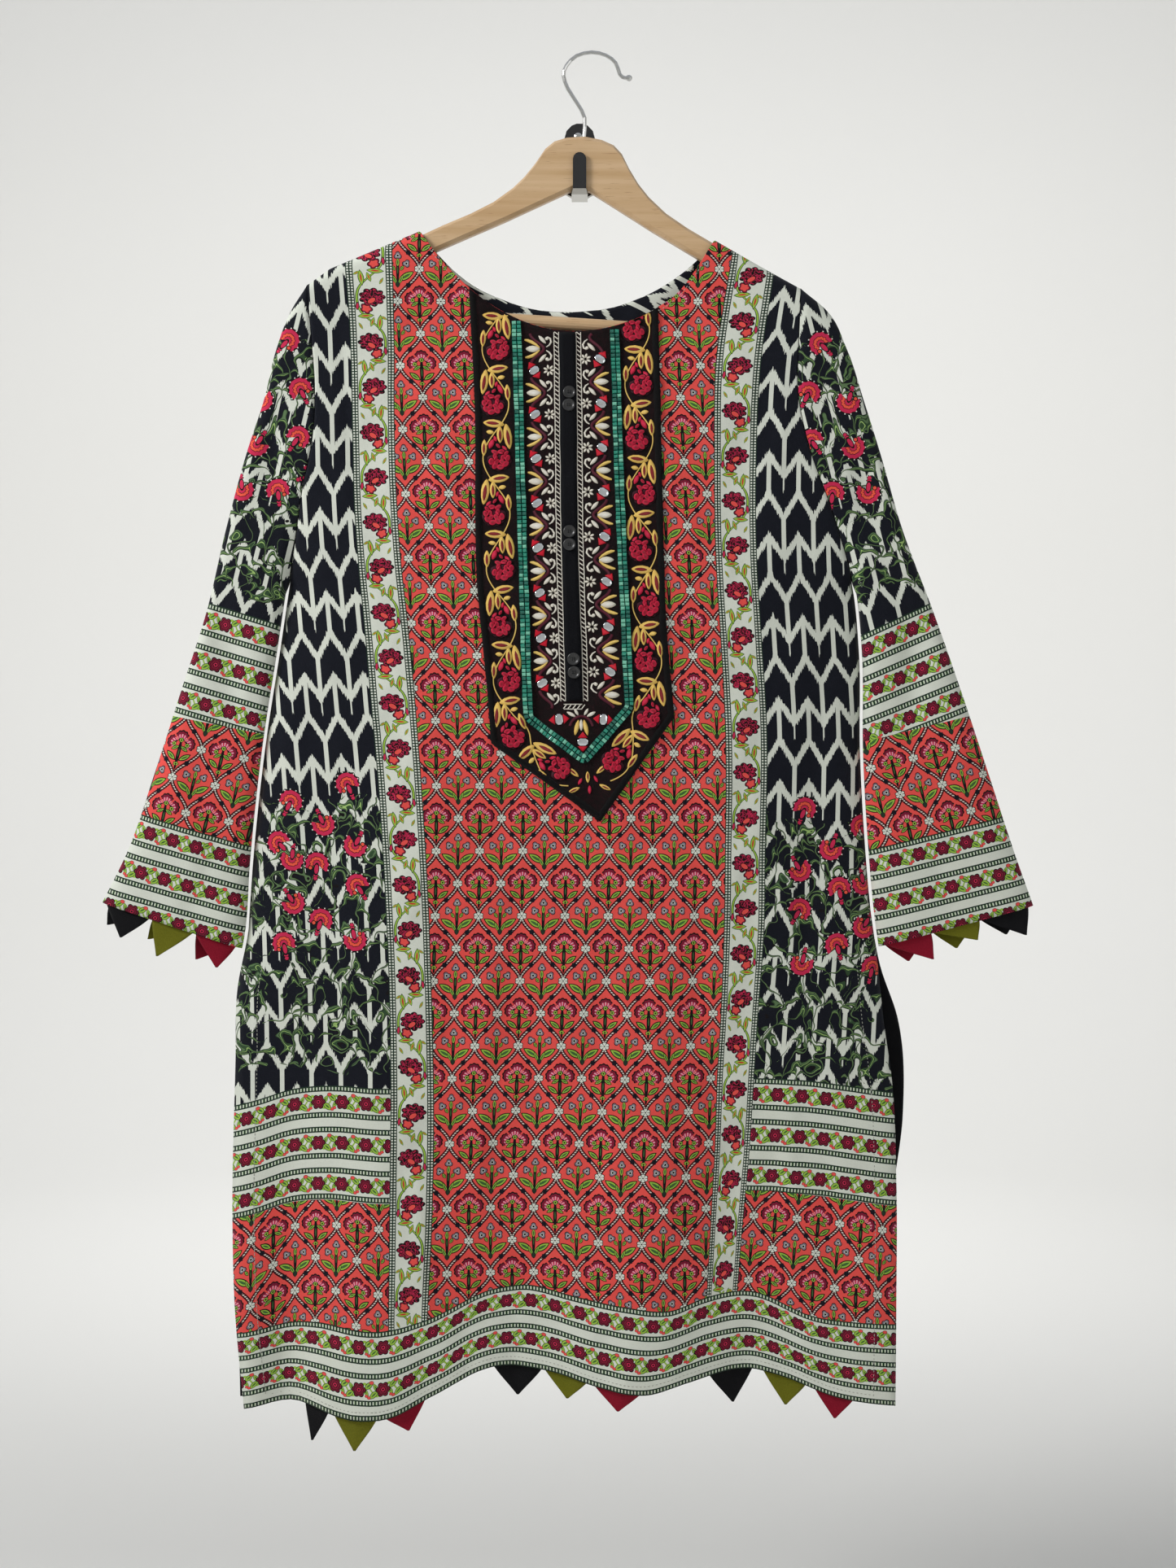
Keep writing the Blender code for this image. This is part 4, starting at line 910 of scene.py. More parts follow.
def grid_normals(points, closed=False):
    """Unit normals of a grid of points. closed joins its last column to its first."""
    across = np.roll(points, -1, 1) - np.roll(points, 1, 1) if closed else np.gradient(points, axis=1)
    return unit(np.cross(across, np.gradient(points, axis=0)))


def piece(name, points, faces, materials, indices=None, uvs=None):
    """One object from points in millimetres, riding on the one body. uvs has a row for each face corner."""
    mesh = bpy.data.meshes.new(name)
    mesh.from_pydata((np.asarray(points) * MM).tolist(), [], faces)
    for made in materials:
        mesh.materials.append(made)
    if indices is not None:
        mesh.polygons.foreach_set("material_index", np.asarray(indices, dtype=np.int32))
    layer = mesh.uv_layers.new(name="cloth")
    if uvs is not None:
        layer.data.foreach_set("uv", np.asarray(uvs, dtype=np.float32).ravel())
    mesh.shade_smooth()
    made = bpy.data.objects.new(name, mesh)
    bpy.context.scene.collection.objects.link(made)
    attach(made, "root")
    return made


def shell(name, outer, inner, zones, materials, closed=False):
    """A thin closed shell between two grids. zones gives, for a cell's row and column, the index of its
    material and the grid of print coordinates that its corners read."""
    rows, columns = outer.shape[:2]
    count = rows * columns
    last = columns if closed else columns - 1
    faces, indices, uvs = [], [], []

    def corner(layer, r, c):
        return layer * count + r * columns + c % columns

    for r in range(rows - 1):
        for c in range(last):
            index, grid = zones(r, c)
            corners = [(r, c), (r, c + 1), (r + 1, c + 1), (r + 1, c)]
            where = [grid[i, j] for i, j in corners]
            faces.append([corner(0, i, j) for i, j in corners])
            faces.append([corner(1, i, j) for i, j in corners[::-1]])
            indices += [index, index]
            uvs += where + where[::-1]
    for r, cell in ((0, 0), (rows - 1, rows - 2)):
        for c in range(last):
            index, grid = zones(cell, c)
            faces.append([corner(0, r, c + 1), corner(0, r, c), corner(1, r, c), corner(1, r, c + 1)])
            indices.append(index)
            uvs += [grid[r, c + 1], grid[r, c], grid[r, c], grid[r, c + 1]]
    if not closed:
        for c, cell in ((0, 0), (columns - 1, columns - 2)):
            for r in range(rows - 1):
                index, grid = zones(r, cell)
                faces.append([corner(0, r, c), corner(0, r + 1, c), corner(1, r + 1, c), corner(1, r, c)])
                indices.append(index)
                uvs += [grid[r, c], grid[r + 1, c], grid[r + 1, c], grid[r, c]]
    points = np.concatenate([outer.reshape(-1, 3), inner.reshape(-1, 3)])
    made = piece(name, points, faces, materials, indices, uvs)
    edit = bmesh.new()
    edit.from_mesh(made.data)
    bmesh.ops.recalc_face_normals(edit, faces=edit.faces)
    if edit.calc_volume(signed=True) < 0:
        bmesh.ops.reverse_faces(edit, faces=edit.faces)
    edit.to_mesh(made.data)
    edit.free()
    return made


# Print layout on the front. The borders' edges: (z, x)
BORDER_LINES = (
    ((-90, -188.8), (-143, -184.8), (-223, -182.6), (-276, -181.3), (-329, -177.6), (-383, -172.3),
     (-436, -167.6), (-500, -161.7), (-598, -155.2), (-696, -151.3), (-754, -150.6), (-859, -151.3),
     (-935, -152)),
    ((-76, -150.6), (-143, -148.9), (-223, -148.3), (-276, -146.7), (-329, -142.8), (-383, -136.9),
     (-436, -131.7), (-500, -126.5), (-598, -120.6), (-696, -117.4), (-754, -116.1), (-859, -117.4),
     (-935, -121)),
    ((-79, 123.2), (-170, 109.5), (-250, 107.9), (-329, 108.9), (-396, 112.8), (-462, 116.1), (-568, 116.1),
     (-626, 115.4), (-684, 113.4), (-742, 110.2), (-800, 108.2), (-859, 105), (-920, 101.5)),
    ((-98, 156.5), (-170, 146), (-250, 142.1), (-329, 142.1), (-396, 146), (-462, 150), (-568, 148.7),
     (-626, 148), (-684, 143.9), (-742, 140.2), (-800, 136.7), (-859, 131.4), (-920, 126.5)),
)
# The middle column of fans: (z, x)
FAN_LINE = ((-120, -60), (-550, -45.1), (-700, -48.6), (-851, -54.1))
FAN_TOP = -120.5

# Lower end of the side chevrons, then the hem bands' upper line: (x, z)
CHEVRONS_END = ((-277, -764), (-255.6, -758), (-232.8, -750.5), (-210, -747), (-155, -748), (139.5, -741),
                (178.6, -742.6), (251.7, -753))
SIDE_BANDS = 91.0
HEM_BANDS_TOP = ((-276, -946), (-210, -936), (-155, -940), (-118, -931), (-72, -911), (-43, -907), (-5, -914),
                 (41, -921), (73, -924), (101, -916), (139, -913), (183, -931), (254, -938))

# Front columns: even cells in each run between two lines, and rows in each zone
FRONT_RUNS = (16, 13, 72, 13, 24)
TOP_ROWS, BAND_ROWS, BLOCK_ROWS, HEM_ROWS = 150, 24, 24, 18

borders = [curve(table) for table in BORDER_LINES]
fan_line, chevrons_end, hem_bands_top = curve(FAN_LINE), curve(CHEVRONS_END), curve(HEM_BANDS_TOP)


def run_columns(lines, runs, neck_run):
    """(run, share) of each column. The run at the neck keeps columns on the neck points."""
    columns = []
    for run, count in enumerate(runs):
        shares = list(np.linspace(0, 1, count + 1)[:-1])
        if run == neck_run:
            for x in (NECK_LEFT, NECK_RIGHT):
                z = float(ridge(x))
                low, high = float(lines[run](z)), float(lines[run + 1](z))
                share = (x - low) / (high - low)
                shares = [s for s in shares if abs(s - share) > 0.35 / count] + [share]
            shares.sort()
        columns += [(run, share) for share in shares]
    return columns + [(len(runs) - 1, 1.0)]


def along_lines(lines, columns, z):
    """x of each column at heights z, one row of z for each column."""
    return np.stack([lines[run](z[:, i]) * (1 - share) + lines[run + 1](z[:, i]) * share
                     for i, (run, share) in enumerate(columns)], 1)


def top_row(lines, columns, face):
    """Heights of the columns' upper ends, found by going back and forth between x and z."""
    z = np.full((1, len(columns)), -90.0)
    for _ in range(40):
        z = 0.5 * z + 0.5 * top_edge(along_lines(lines, columns, z)[0], face)[None]
    return z[0]


def bunched(count):
    """Shares from 0 to 1 in even steps, with a few close ones at the start for the rounded shoulder."""
    start = np.array([0, 0.0016, 0.0036, 0.0062, 0.0095, 0.0135])
    return np.concatenate([start, np.linspace(0.0135, 1, count - len(start) + 2)[1:]])


def panel_layers(x, z, face, levels):
    """Outer and inner grids of a panel shell."""
    outer = np.stack([x, surface_y(x, z, face), z], -1)
    away = grid_normals(outer)
    away *= np.sign(away[..., 1:2] * face)
    armhole, slit = levels
    for column, inward in ((0, 1), (-1, -1)):
        away[:armhole, column, 0] = 0
        away[armhole:slit + 1, column] = (-inward, 0, 0)
    shoulder = (x[0] <= NECK_LEFT + 0.01) | (x[0] >= NECK_RIGHT - 0.01)
    away[0, shoulder] = (0, 0, 1)
    away[-1, 1:-1, 2] = 0
    return outer, outer - SHELL * unit(away)


def front_panel(prints):
    lines = [EDGES[-1][0], *borders, EDGES[-1][1]]
    columns = run_columns(lines, FRONT_RUNS, 2)
    top = top_row(lines, columns, -1)
    x = along_lines(lines, columns, top[None])[0]
    for _ in range(3):
        ends = chevrons_end(x)
        x = along_lines(lines, columns, ends[None])[0]
    block_end = ends - SIDE_BANDS
    for _ in range(3):
        bands = hem_bands_top(x)
        x = along_lines(lines, columns, bands[None])[0]
    for _ in range(3):
        bottom = hem(x)
        x = along_lines(lines, columns, bottom[None])[0]
    levels = [top + (ends - top) * s for s in bunched(TOP_ROWS)]
    levels += [ends + (block_end - ends) * s for s in np.linspace(0, 1, BAND_ROWS + 1)[1:]]
    levels += [block_end + (bands - block_end) * s for s in np.linspace(0, 1, BLOCK_ROWS + 1)[1:]]
    levels += [bands + (bottom - bands) * s for s in np.linspace(0, 1, HEM_ROWS + 1)[1:]]
    z = np.array(levels)
    x = along_lines(lines, columns, z)
    marks = (int(np.argmax(z[:, 0] < UNDERARM)), int(np.argmax(z[:, 0] < SLIT)))
    outer, inner = panel_layers(x, z, -1, marks)

    run_of = np.array([run for run, _ in columns])
    share = np.array([share for _, share in columns])
    first_band = TOP_ROWS + 1
    first_block = first_band + BAND_ROWS
    first_hem = first_block + BLOCK_ROWS
    hem_down = (z - z[first_hem]) * (2.14 * BAND_REPEAT / (z[first_hem] - z[-1]))
    side_x = np.where(x < 0, borders[0](z) - x, x - borders[3](z))
    grids = {
        "trellis": np.stack([x - fan_line(z), z - FAN_TOP], -1),
        "side_trellis": np.stack([side_x + 9, z - z[first_block] - 32], -1),
        "left_chevrons": np.stack([side_x - 4, z + 120.2], -1),
        "right_chevrons": np.stack([side_x - 10, z + 140.0], -1),
        "bands": np.stack([side_x, (z - z[first_band]) * (3 * BAND_REPEAT - BAND_PLAIN) / SIDE_BANDS], -1),
        "hem": np.stack([x, hem_down], -1),
    }
    for name, run, top_z in (("left_border", 1, -119.0), ("right_border", 3, -101.7)):
        edge = np.where(run_of == run, share, np.where(run_of > run, 1.0, 0.0))
        grids[name] = np.stack([np.broadcast_to((edge - 0.5) * BORDER_WIDTH, z.shape), z - top_z], -1)

    names = ("trellis", "border", "ikat_flower", "band")

    def zones(r, c):
        run = run_of[c]
        if r >= first_hem:
            return names.index("band"), grids["hem"]
        if run in (1, 3):
            return names.index("border"), grids["left_border" if run == 1 else "right_border"]
        if run == 2:
            return names.index("trellis"), grids["trellis"]
        if r >= first_block:
            return names.index("trellis"), grids["side_trellis"]
        if r >= first_band:
            return names.index("band"), grids["bands"]
        return names.index("ikat_flower"), grids["left_chevrons" if run == 0 else "right_chevrons"]

    made = shell("front_cloth", outer, inner, zones, [prints[name] for name in names])
    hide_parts("front_panel")
    return made


# Back columns: the plain bindings beside the slits, and the print between
BINDING = 26.0
BACK_RUNS = (8, 84, 8)
BACK_TOP_ROWS, BACK_LOW_ROWS = 100, 60


def back_panel(prints):
    left, right = EDGES[1]
    lines = [left, lambda z: left(z) + BINDING, lambda z: right(z) - BINDING, right]
    columns = run_columns(lines, BACK_RUNS, 1)
    top = top_row(lines, columns, 1)
    x = along_lines(lines, columns, np.full((1, len(columns)), FOLDS_END))[0]
    bottom = hem(x) + BACK_HEM_SHORTER
    levels = [top + (SLIT - top) * s for s in bunched(BACK_TOP_ROWS)]
    levels += [SLIT + (bottom - SLIT) * s for s in np.linspace(0, 1, BACK_LOW_ROWS + 1)[1:]]
    z = np.array(levels)
    x = along_lines(lines, columns, z)
    slit = BACK_TOP_ROWS + 1
    outer, inner = panel_layers(x, z, 1, (int(np.argmax(z[:, 0] < UNDERARM)), slit))
    run_of = [run for run, _ in columns]
    grid = np.stack([x + 8, z + 120], -1)

    def zones(r, c):
        return (1 if run_of[c] != 1 and r >= slit else 0), grid

    made = shell("back_cloth", outer, inner, zones, [prints["ikat"], prints["black"]])
    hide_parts("back_panel")
    return made


# Sleeves. Their print lines from the armhole to the cuff: (z at the outer edge, z at the inner edge)
SLEEVE_LINES = {
    "left": ((-106, -348), (-363, -381), (-454, -469), (-533, -559), (-604.4, -641.6)),
    "right": ((-108.5, -348), (-363, -389), (-454, -475), (-535, -562), (-607, -640)),
}
SLEEVE_ROWS = (46, 22, 20, 17)
SLEEVE_COLUMNS = 34
SLEEVE_AXIS = {"left": (-0.232, -0.973), "right": (0.243, -0.970)}
CAP_DEPTH, SLEEVE_LEAVES, SLEEVE_BACK_SHIFT = 60.0, 8.0, 150.0
SLEEVE_BANDS, BLOCK_SHIFT = 92.0, (12.0, -30.0)


def sleeve_cloth(side, prints):
    rows = SLEEVES[side]
    away = -1 if side == "left" else 1
    edge = EDGES[-1][0 if side == "left" else 1]
    outer_x = curve([(z, x) for x, z, _, _ in rows])
    half_at = curve([(outer_z, half) for _, outer_z, _, half in rows])
    lines = SLEEVE_LINES[side]
    ends = [lines[0]]
    zone_starts = []
    for number, count in enumerate(SLEEVE_ROWS):
        zone_starts.append(len(ends) - 1)
        (o0, i0), (o1, i1) = lines[number], lines[number + 1]
        ends += [(o0 + (o1 - o0) * s, i0 + (i1 - i0) * s) for s in np.linspace(0, 1, count + 1)[1:]]
    turn = np.linspace(0, math.pi, SLEEVE_COLUMNS + 1)
    shares = 0.5 - 0.5 * np.cos(turn)
    rings = []
    for outer_z, inner_z in ends:
        fade = np.clip(1 - (ends[0][0] - outer_z) / CAP_DEPTH, 0, 1) ** 2
        seam_z = rows[0][1] + (rows[0][2] - rows[0][1]) * shares
        chord = edge(rows[0][1]) + (edge(rows[0][2]) - edge(rows[0][1])) * shares
        clear = SEAM + (SLEEVE_CLEAR - SEAM) * np.clip((ends[0][1] - inner_z) / SLEEVE_LEAVES, 0, 1)
        low_x = edge(inner_z) + away * clear
        high_x = outer_x(outer_z)
        x = high_x + (low_x - high_x) * shares + (edge(seam_z) - chord) * fade
        z = outer_z + (inner_z - outer_z) * shares
        half = half_at(outer_z)
        shape = (1 - np.abs(2 * shares - 1) ** SLEEVE_ROUND) ** 0.5
        folds = sum(crease(x, z, row) for row in SLEEVE_CREASES[side])
        small = sum(crease(x, z, row) for row in SLEEVE_FINE[side]) + 0.7 * uneven(x, z)
        middle = SIDE_Y + (hanger_y(x) - SIDE_Y) * smooth((z + 230) / 120)
        body = [middle + face * (half + (folds * (face < 0) + small) * (1 - fade)) * shape
                for face in (-1, 1)]
        flat = [panel_y(edge(seam_z), seam_z, face) for face in (-1, 1)]
        front, back = [b * (1 - fade) + f * fade for b, f in zip(body, flat)]
        ring = [(x[i], front[i], z[i]) for i in range(len(x))]
        ring += [(x[i], back[i], z[i]) for i in range(len(x) - 2, 0, -1)]
        rings.append(ring)
    outer = np.array(rings)
    outer[0, :, 0] += away * SEAM
    normals = grid_normals(outer, closed=True)
    normals *= np.sign(((outer - outer.mean(axis=1, keepdims=True)) * normals).sum(-1, keepdims=True))
    normals[0, :, 0] = 0
    inner = outer - SHELL * unit(normals)

    closed_grid = np.concatenate([outer, outer[:, :1]], 1)
    down = np.array(SLEEVE_AXIS[side])
    across = np.array((-down[1], down[0])) * -away
    start = np.array((rows[0][0], rows[0][1]))
    flat = closed_grid[..., (0, 2)] - start
    s, t = flat @ across, flat @ down
    front_count = SLEEVE_COLUMNS + 1
    behind = np.arange(closed_grid.shape[1]) >= front_count
    s = np.where(behind, SLEEVE_BACK_SHIFT - s, s)
    line_t = [t[start_row] for start_row in zone_starts]
    grids = [
        np.stack([s, SLEEVE_PRINT - t], -1),
        np.stack([s, (line_t[1] - t) * (3 * BAND_REPEAT - BAND_PLAIN) / SLEEVE_BANDS], -1),
        np.stack([s + BLOCK_SHIFT[0], line_t[2] - t + BLOCK_SHIFT[1]], -1),
        np.stack([s, line_t[3] - t], -1),
    ]
    zone_of = np.searchsorted(zone_starts, np.arange(len(ends)), side="right") - 1
    cloths = [prints[name] for name in ("ikat_flower", "band", "trellis")]
    cloth_of = (0, 1, 2, 1)

    def zones(r, _):
        return cloth_of[zone_of[r]], grids[zone_of[r]]

    made = shell(f"sleeve_{side}_cloth", outer, inner, zones, cloths, closed=True)
    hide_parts(f"sleeve_{side}")
    return made


# The yoke's layers, out from the front cloth
YOKE_TOP = LAID + TRIM
TAPE_TOP = YOKE_TOP + LAID
YOKE_CELLS, YOKE_DOWN = (38, 30), 120
STRIP_ROWS, STRIP_COLUMNS = 110, 5

# Roses and sprays: two routes from the neck down to the patch's point, the first rose and the step
ROSE_ROUTES = (
    (((-68, -140), (-66, -300), (-56, -462), (-44, -481), (10, -516)), 20.0, 1),
    (((45.5, -130), (50, -300), (56.5, -446), (48, -468), (10, -516)), 14.0, -1),
)
ROSES, ROSE_STEP, ROSE_ASIDE, VINE_ASIDE = 9, 44.6, 2.5, 10.5
ROSE_REACH = (9.6, 6.6)

# Leaves of one spray: (forward, aside, half length, half width, turn from forward in degrees)
SPRAY_LEAVES = ((16, 1.8, 7.8, 2.7, 97), (26.5, -9.2, 9.5, 2.8, -8), (25, -3, 6.4, 2.0, 0),
                (23, 4.6, 2.8, 1.4, 100), (35.5, 9.6, 6.2, 2.0, 3))
SPRAY_BUDS = ((32.5, 3.6, 3.8, 1.6, 25), (28.5, 0.6, 2.2, 1.0, -20), (36.5, -6.5, 2.8, 1.3, -40))

# Petals of a rose, given as a spray's leaves, then the sprigs at the patch's point: (x, z, turn in degrees,
# half length, half width, thread)
ROSE_PETALS = (
    (2.2, -6.6, 3.0, 2.3, -10), (5.6, -3.6, 3.2, 2.4, -35), (6.8, 0.8, 3.2, 2.4, 82),
    (4.4, 5.0, 3.2, 2.4, 130), (-0.4, 6.6, 2.8, 2.2, 170), (2.4, -2.4, 2.8, 2.0, -40),
    (2.6, 2.0, 2.8, 2.0, 50), (-1.6, -3.4, 2.6, 1.9, 20), (-1.0, 2.6, 2.6, 1.9, -15),
    (-5.2, -3.6, 3.0, 1.8, 60), (-5.8, 1.2, 3.0, 1.8, 100), (-4.2, 5.2, 2.6, 1.6, 140),
    (-10.2, -1.0, 2.2, 1.2, 40),
)
POINT_SPRIGS = (
    (-4.9, -499.6, 140, 5.6, 1.9, "gold"), (17.8, -497, 40, 5.6, 1.9, "gold"),
    (-4.5, -514, 205, 5.2, 1.7, "gold"), (20.5, -511.5, -25, 5.2, 1.7, "gold"),
    (6.5, -503.5, 92, 4.6, 1.7, "gold"), (0.5, -507, 60, 3.0, 1.3, "petal"),
    (13, -505, 120, 3.0, 1.3, "petal"), (8, -513.5, 90, 3.4, 1.4, "petal"),
)
ROSE_CREASES = ((-4.4, 0.8, 2.2, 0.7, 80), (-0.6, -3.4, 2.4, 0.6, -30), (0.4, 4.8, 2.4, 0.6, 35))

# The mirror work beside the strip: its repeat, its middles on each side, and its width
MOTIF_STEP, MOTIF_WIDTH = 36.0, 29.0
MOTIF_SIDES = ((-1, -267.0), (1, -258.0))
LADDER_STEP = 3.6

# Beads of the ribbon: how far apart, half sizes and height
BEAD_STEP, BEAD_ASIDE, BEAD_LONG, BEAD_WIDE, BEAD_HIGH = 3.3, 1.98, 1.45, 1.7, 1.7
BEAD_RINGS = ((1, 1, 0), (1, 1, 0.55), (0.72, 0.92, 0.95), (0.3, 0.86, 1.08))

COLOURS = {
    "crimson": (colour_of(128, 4, 30), colour_of(222, 26, 68)),
    "petal": (colour_of(232, 50, 88), colour_of(200, 20, 58)),
    "gold": (colour_of(255, 222, 130), colour_of(240, 196, 96)),
    "russet": (colour_of(150, 34, 40), colour_of(120, 22, 32)),
    "maroon": (colour_of(96, 16, 42), colour_of(58, 10, 28)),
    "cream": (colour_of(250, 246, 236), colour_of(226, 218, 200)),
    "scarlet": (colour_of(226, 14, 48), colour_of(200, 10, 38)),
}
THREADS = ("crimson", "petal", "gold", "russet", "maroon", "cream", "scarlet", "mirror", "velvet")


STITCH_FINE, NECK_CLEAR, PETAL_SIDES = 0.55, 0.9, 12


def thread(name, middle, edge):
    """Satin stitches: fine ridges across u, and a second colour towards v = 1. The colour is lighter on the
    ridges and darker in the grooves between them, a painted highlight and painted shade of the stitches.
    """
    p = Print(name)
    u, v = p.split(p.uv)
    ridge_at = p.calc("ABSOLUTE", p.calc("SINE", p.calc("MULTIPLY", u, math.pi / STITCH_FINE)))
    colour = p.mix(v, middle, edge)
    # painted highlight on the stitch ridges and painted shade in the grooves between them: the colour follows
    # the ridges' height
    tone = p.calc("MULTIPLY_ADD", ridge_at, 0.5, 0.66)
    p.tree.links.new(p.vector("SCALE", colour, None, None, tone), p.shader.inputs["Base Color"])
    bump = p.add("Bump")
    bump.inputs["Strength"].default_value = 0.6
    bump.inputs["Distance"].default_value = 0.0003
    p.tree.links.new(ridge_at, bump.inputs["Height"])
    p.tree.links.new(bump.outputs[0], p.shader.inputs["Normal"])
    p.shader.inputs["Roughness"].default_value = 0.55
    p.shader.inputs["Specular IOR Level"].default_value = 0.3
    return p.made


def hard_material(name, colour, roughness, metallic=0.0, coat=0.0, speckle=0.12, scale=900.0):
    """A plain hard finish with a little unevenness in colour and gloss."""
    made = bpy.data.materials.new(name)
    made.use_nodes = True
    tree = made.node_tree
    shader = tree.nodes["Principled BSDF"]
    place = tree.nodes.new("ShaderNodeTexCoord")
    noise = tree.nodes.new("ShaderNodeTexNoise")
    noise.inputs["Scale"].default_value = scale
    tree.links.new(place.outputs["Object"], noise.inputs["Vector"])
    ramp = tree.nodes.new("ShaderNodeValToRGB")
    ramp.color_ramp.elements[0].color = tuple(c * (1 - speckle) for c in colour[:3]) + (1.0,)
    ramp.color_ramp.elements[1].color = tuple(min(1, c * (1 + speckle)) for c in colour[:3]) + (1.0,)
    tree.links.new(noise.outputs[0], ramp.inputs[0])
    tree.links.new(ramp.outputs[0], shader.inputs["Base Color"])
    shader.inputs["Roughness"].default_value = roughness
    shader.inputs["Metallic"].default_value = metallic
    shader.inputs["Coat Weight"].default_value = coat
    return made


def net_material():
    """Fine dark net over dark ground, with traces of the ground stitching."""
    p = Print("yoke_net_cloth")
    at = p.local(p.uv, 0, 0, 1, 1, 45)
    x, y = p.split(at)
    wires = p.calc("MINIMUM", p.calc("ABSOLUTE", p.calc("WRAP", x, 0.5, -0.5)),
                   p.calc("ABSOLUTE", p.calc("WRAP", y, 0.5, -0.5)))
    net = p.mix(p.calc("LESS_THAN", wires, 0.16), colour_of(9, 5, 6), colour_of(30, 19, 20))
    patches = p.ramp(p.noise(p.uv, 0.16), ((0, None), (0.52, colour_of(36, 13, 18)), (0.6, None)))
    colour = p.mix(p.calc("MULTIPLY", patches[1], 0.6), net, patches[0])
    return p.finish(colour, sheen=0.0, weave=0.5, faded=0.2)


class Stitchwork:
    """Raised shapes laid on the yoke, gathered into one mesh. Points are (x, z, height over the patch)."""

    def __init__(self):
        self.points, self.faces, self.indices, self.uvs = [], [], [], []

    def add(self, points, faces, uvs, colour):
        start = len(self.points)
        self.points += [tuple(p) for p in points]
        for face in faces:
            self.faces.append([start + i for i in face])
            self.indices.append(THREADS.index(colour))
            self.uvs += [uvs[i] for i in face]

    def dome(self, centre, forward, outline, rings, colour, lift=0.0, slant=0.0, radial=False):
        """A raised flat shape: outline as (forward, aside), rings as (share, height) from the edge inwards.
        Its stitches run across it, or out from its middle."""
        forward = unit(np.asarray(forward, float))
        aside = np.array((-forward[1], forward[0]))
        outline = np.asarray(outline, float)
        count = len(outline)
        points, uvs, faces = [], [], []
        for share, height in rings:
            for u, v in outline * share:
                points.append((*(centre + forward * u + aside * v), height + lift))
                uvs.append((math.atan2(v, u) * ROSE_REACH[0] if radial else u + slant * abs(v), share))
        points.append((*centre, rings[-1][1] * 1.04 + lift))
        uvs.append((0, 0))
        last = (len(rings) - 1) * count
        for low in range(0, last, count):
            for i in range(count):
                j = (i + 1) % count
                faces.append((low + i, low + j, low + count + j, low + count + i))
        faces += [(last + i, last + (i + 1) % count, len(points) - 1) for i in range(count)]
        self.add(points, faces, uvs, colour)

    def petal(self, centre, forward, half_long, half_wide, colour, height=0.8, lift=0.0, pointed=0.5):
        turn = np.linspace(0, 2 * math.pi, PETAL_SIDES, endpoint=False)
        across = np.sin(turn) * np.abs(np.sin(turn)) ** pointed
        outline = np.stack([half_long * np.cos(turn), half_wide * across], -1)
        rings = ((1.0, 0.0), (0.9, height * 0.6), (0.5, height))
        self.dome(centre, forward, outline, rings, colour, lift, 0.6)

    def cord(self, route, widths, height, colour, lift=0.0):
        """A half-round cord along a route of (x, z) points."""
        route = np.asarray(route, float)
        run = unit(np.gradient(route, axis=0))
        aside = run[:, ::-1] * (-1, 1)
        half = np.broadcast_to(np.asarray(widths, float) / 2, len(route))[:, None]
        along = np.concatenate([[0], np.cumsum(np.linalg.norm(np.diff(route, axis=0), axis=1))])
        points, uvs, faces = [], [], []
        for share, rise in ((-1, 0), (-0.6, 0.75), (0, 1), (0.6, 0.75), (1, 0)):
            side = route + aside * half * share
            points += [(x, z, lift + height * rise) for x, z in side]
            uvs += [(s + 0.8 * share, abs(share)) for s in along]
        n = len(route)
        for low in range(0, 4 * n, n):
            faces += [(low + i, low + i + 1, low + n + i + 1, low + n + i) for i in range(n - 1)]
        self.add(points, faces, uvs, colour)

    def build(self, name, materials):
        x, z, height = np.array(self.points).T
        z = np.minimum(z, front_neck(x) - NECK_CLEAR)
        places = surface_point(x, z, -1, YOKE_TOP + height)
        made = piece(name, places, self.faces, materials, self.indices, self.uvs)
        return made


def soft_route(points, step=1.0, rounded=14):
    """A route of even steps through points, its corners rounded. Returns a reader of place and direction."""
    points = np.asarray(points, float)
    lengths = np.concatenate([[0], np.cumsum(np.linalg.norm(np.diff(points, axis=0), axis=1))])
    at = np.arange(-rounded, lengths[-1] + rounded, step)
    dense = np.stack([np.interp(at, lengths, points[:, k]) for k in (0, 1)], -1)
    dense += unit(points[1] - points[0]) * np.minimum(at, 0)[:, None]
    dense += unit(points[-1] - points[-2]) * np.maximum(at - lengths[-1], 0)[:, None]
    kernel = np.ones(rounded) / rounded
    calm = np.stack([np.convolve(dense[:, k], kernel, mode="same") for k in (0, 1)], -1)
    inside = slice(rounded // 2, -(rounded // 2))
    at, calm = at[inside], calm[inside]
    run = unit(np.gradient(calm, axis=0))

    def read(s):
        place = np.stack([np.interp(s, at, calm[:, k]) for k in (0, 1)], -1)
        return place, unit(np.stack([np.interp(s, at, run[:, k]) for k in (0, 1)], -1))

    return read


def turned(forward, degrees):
    cos, sin = math.cos(math.radians(degrees)), math.sin(math.radians(degrees))
    return np.array((forward[0] * cos - forward[1] * sin, forward[0] * sin + forward[1] * cos))


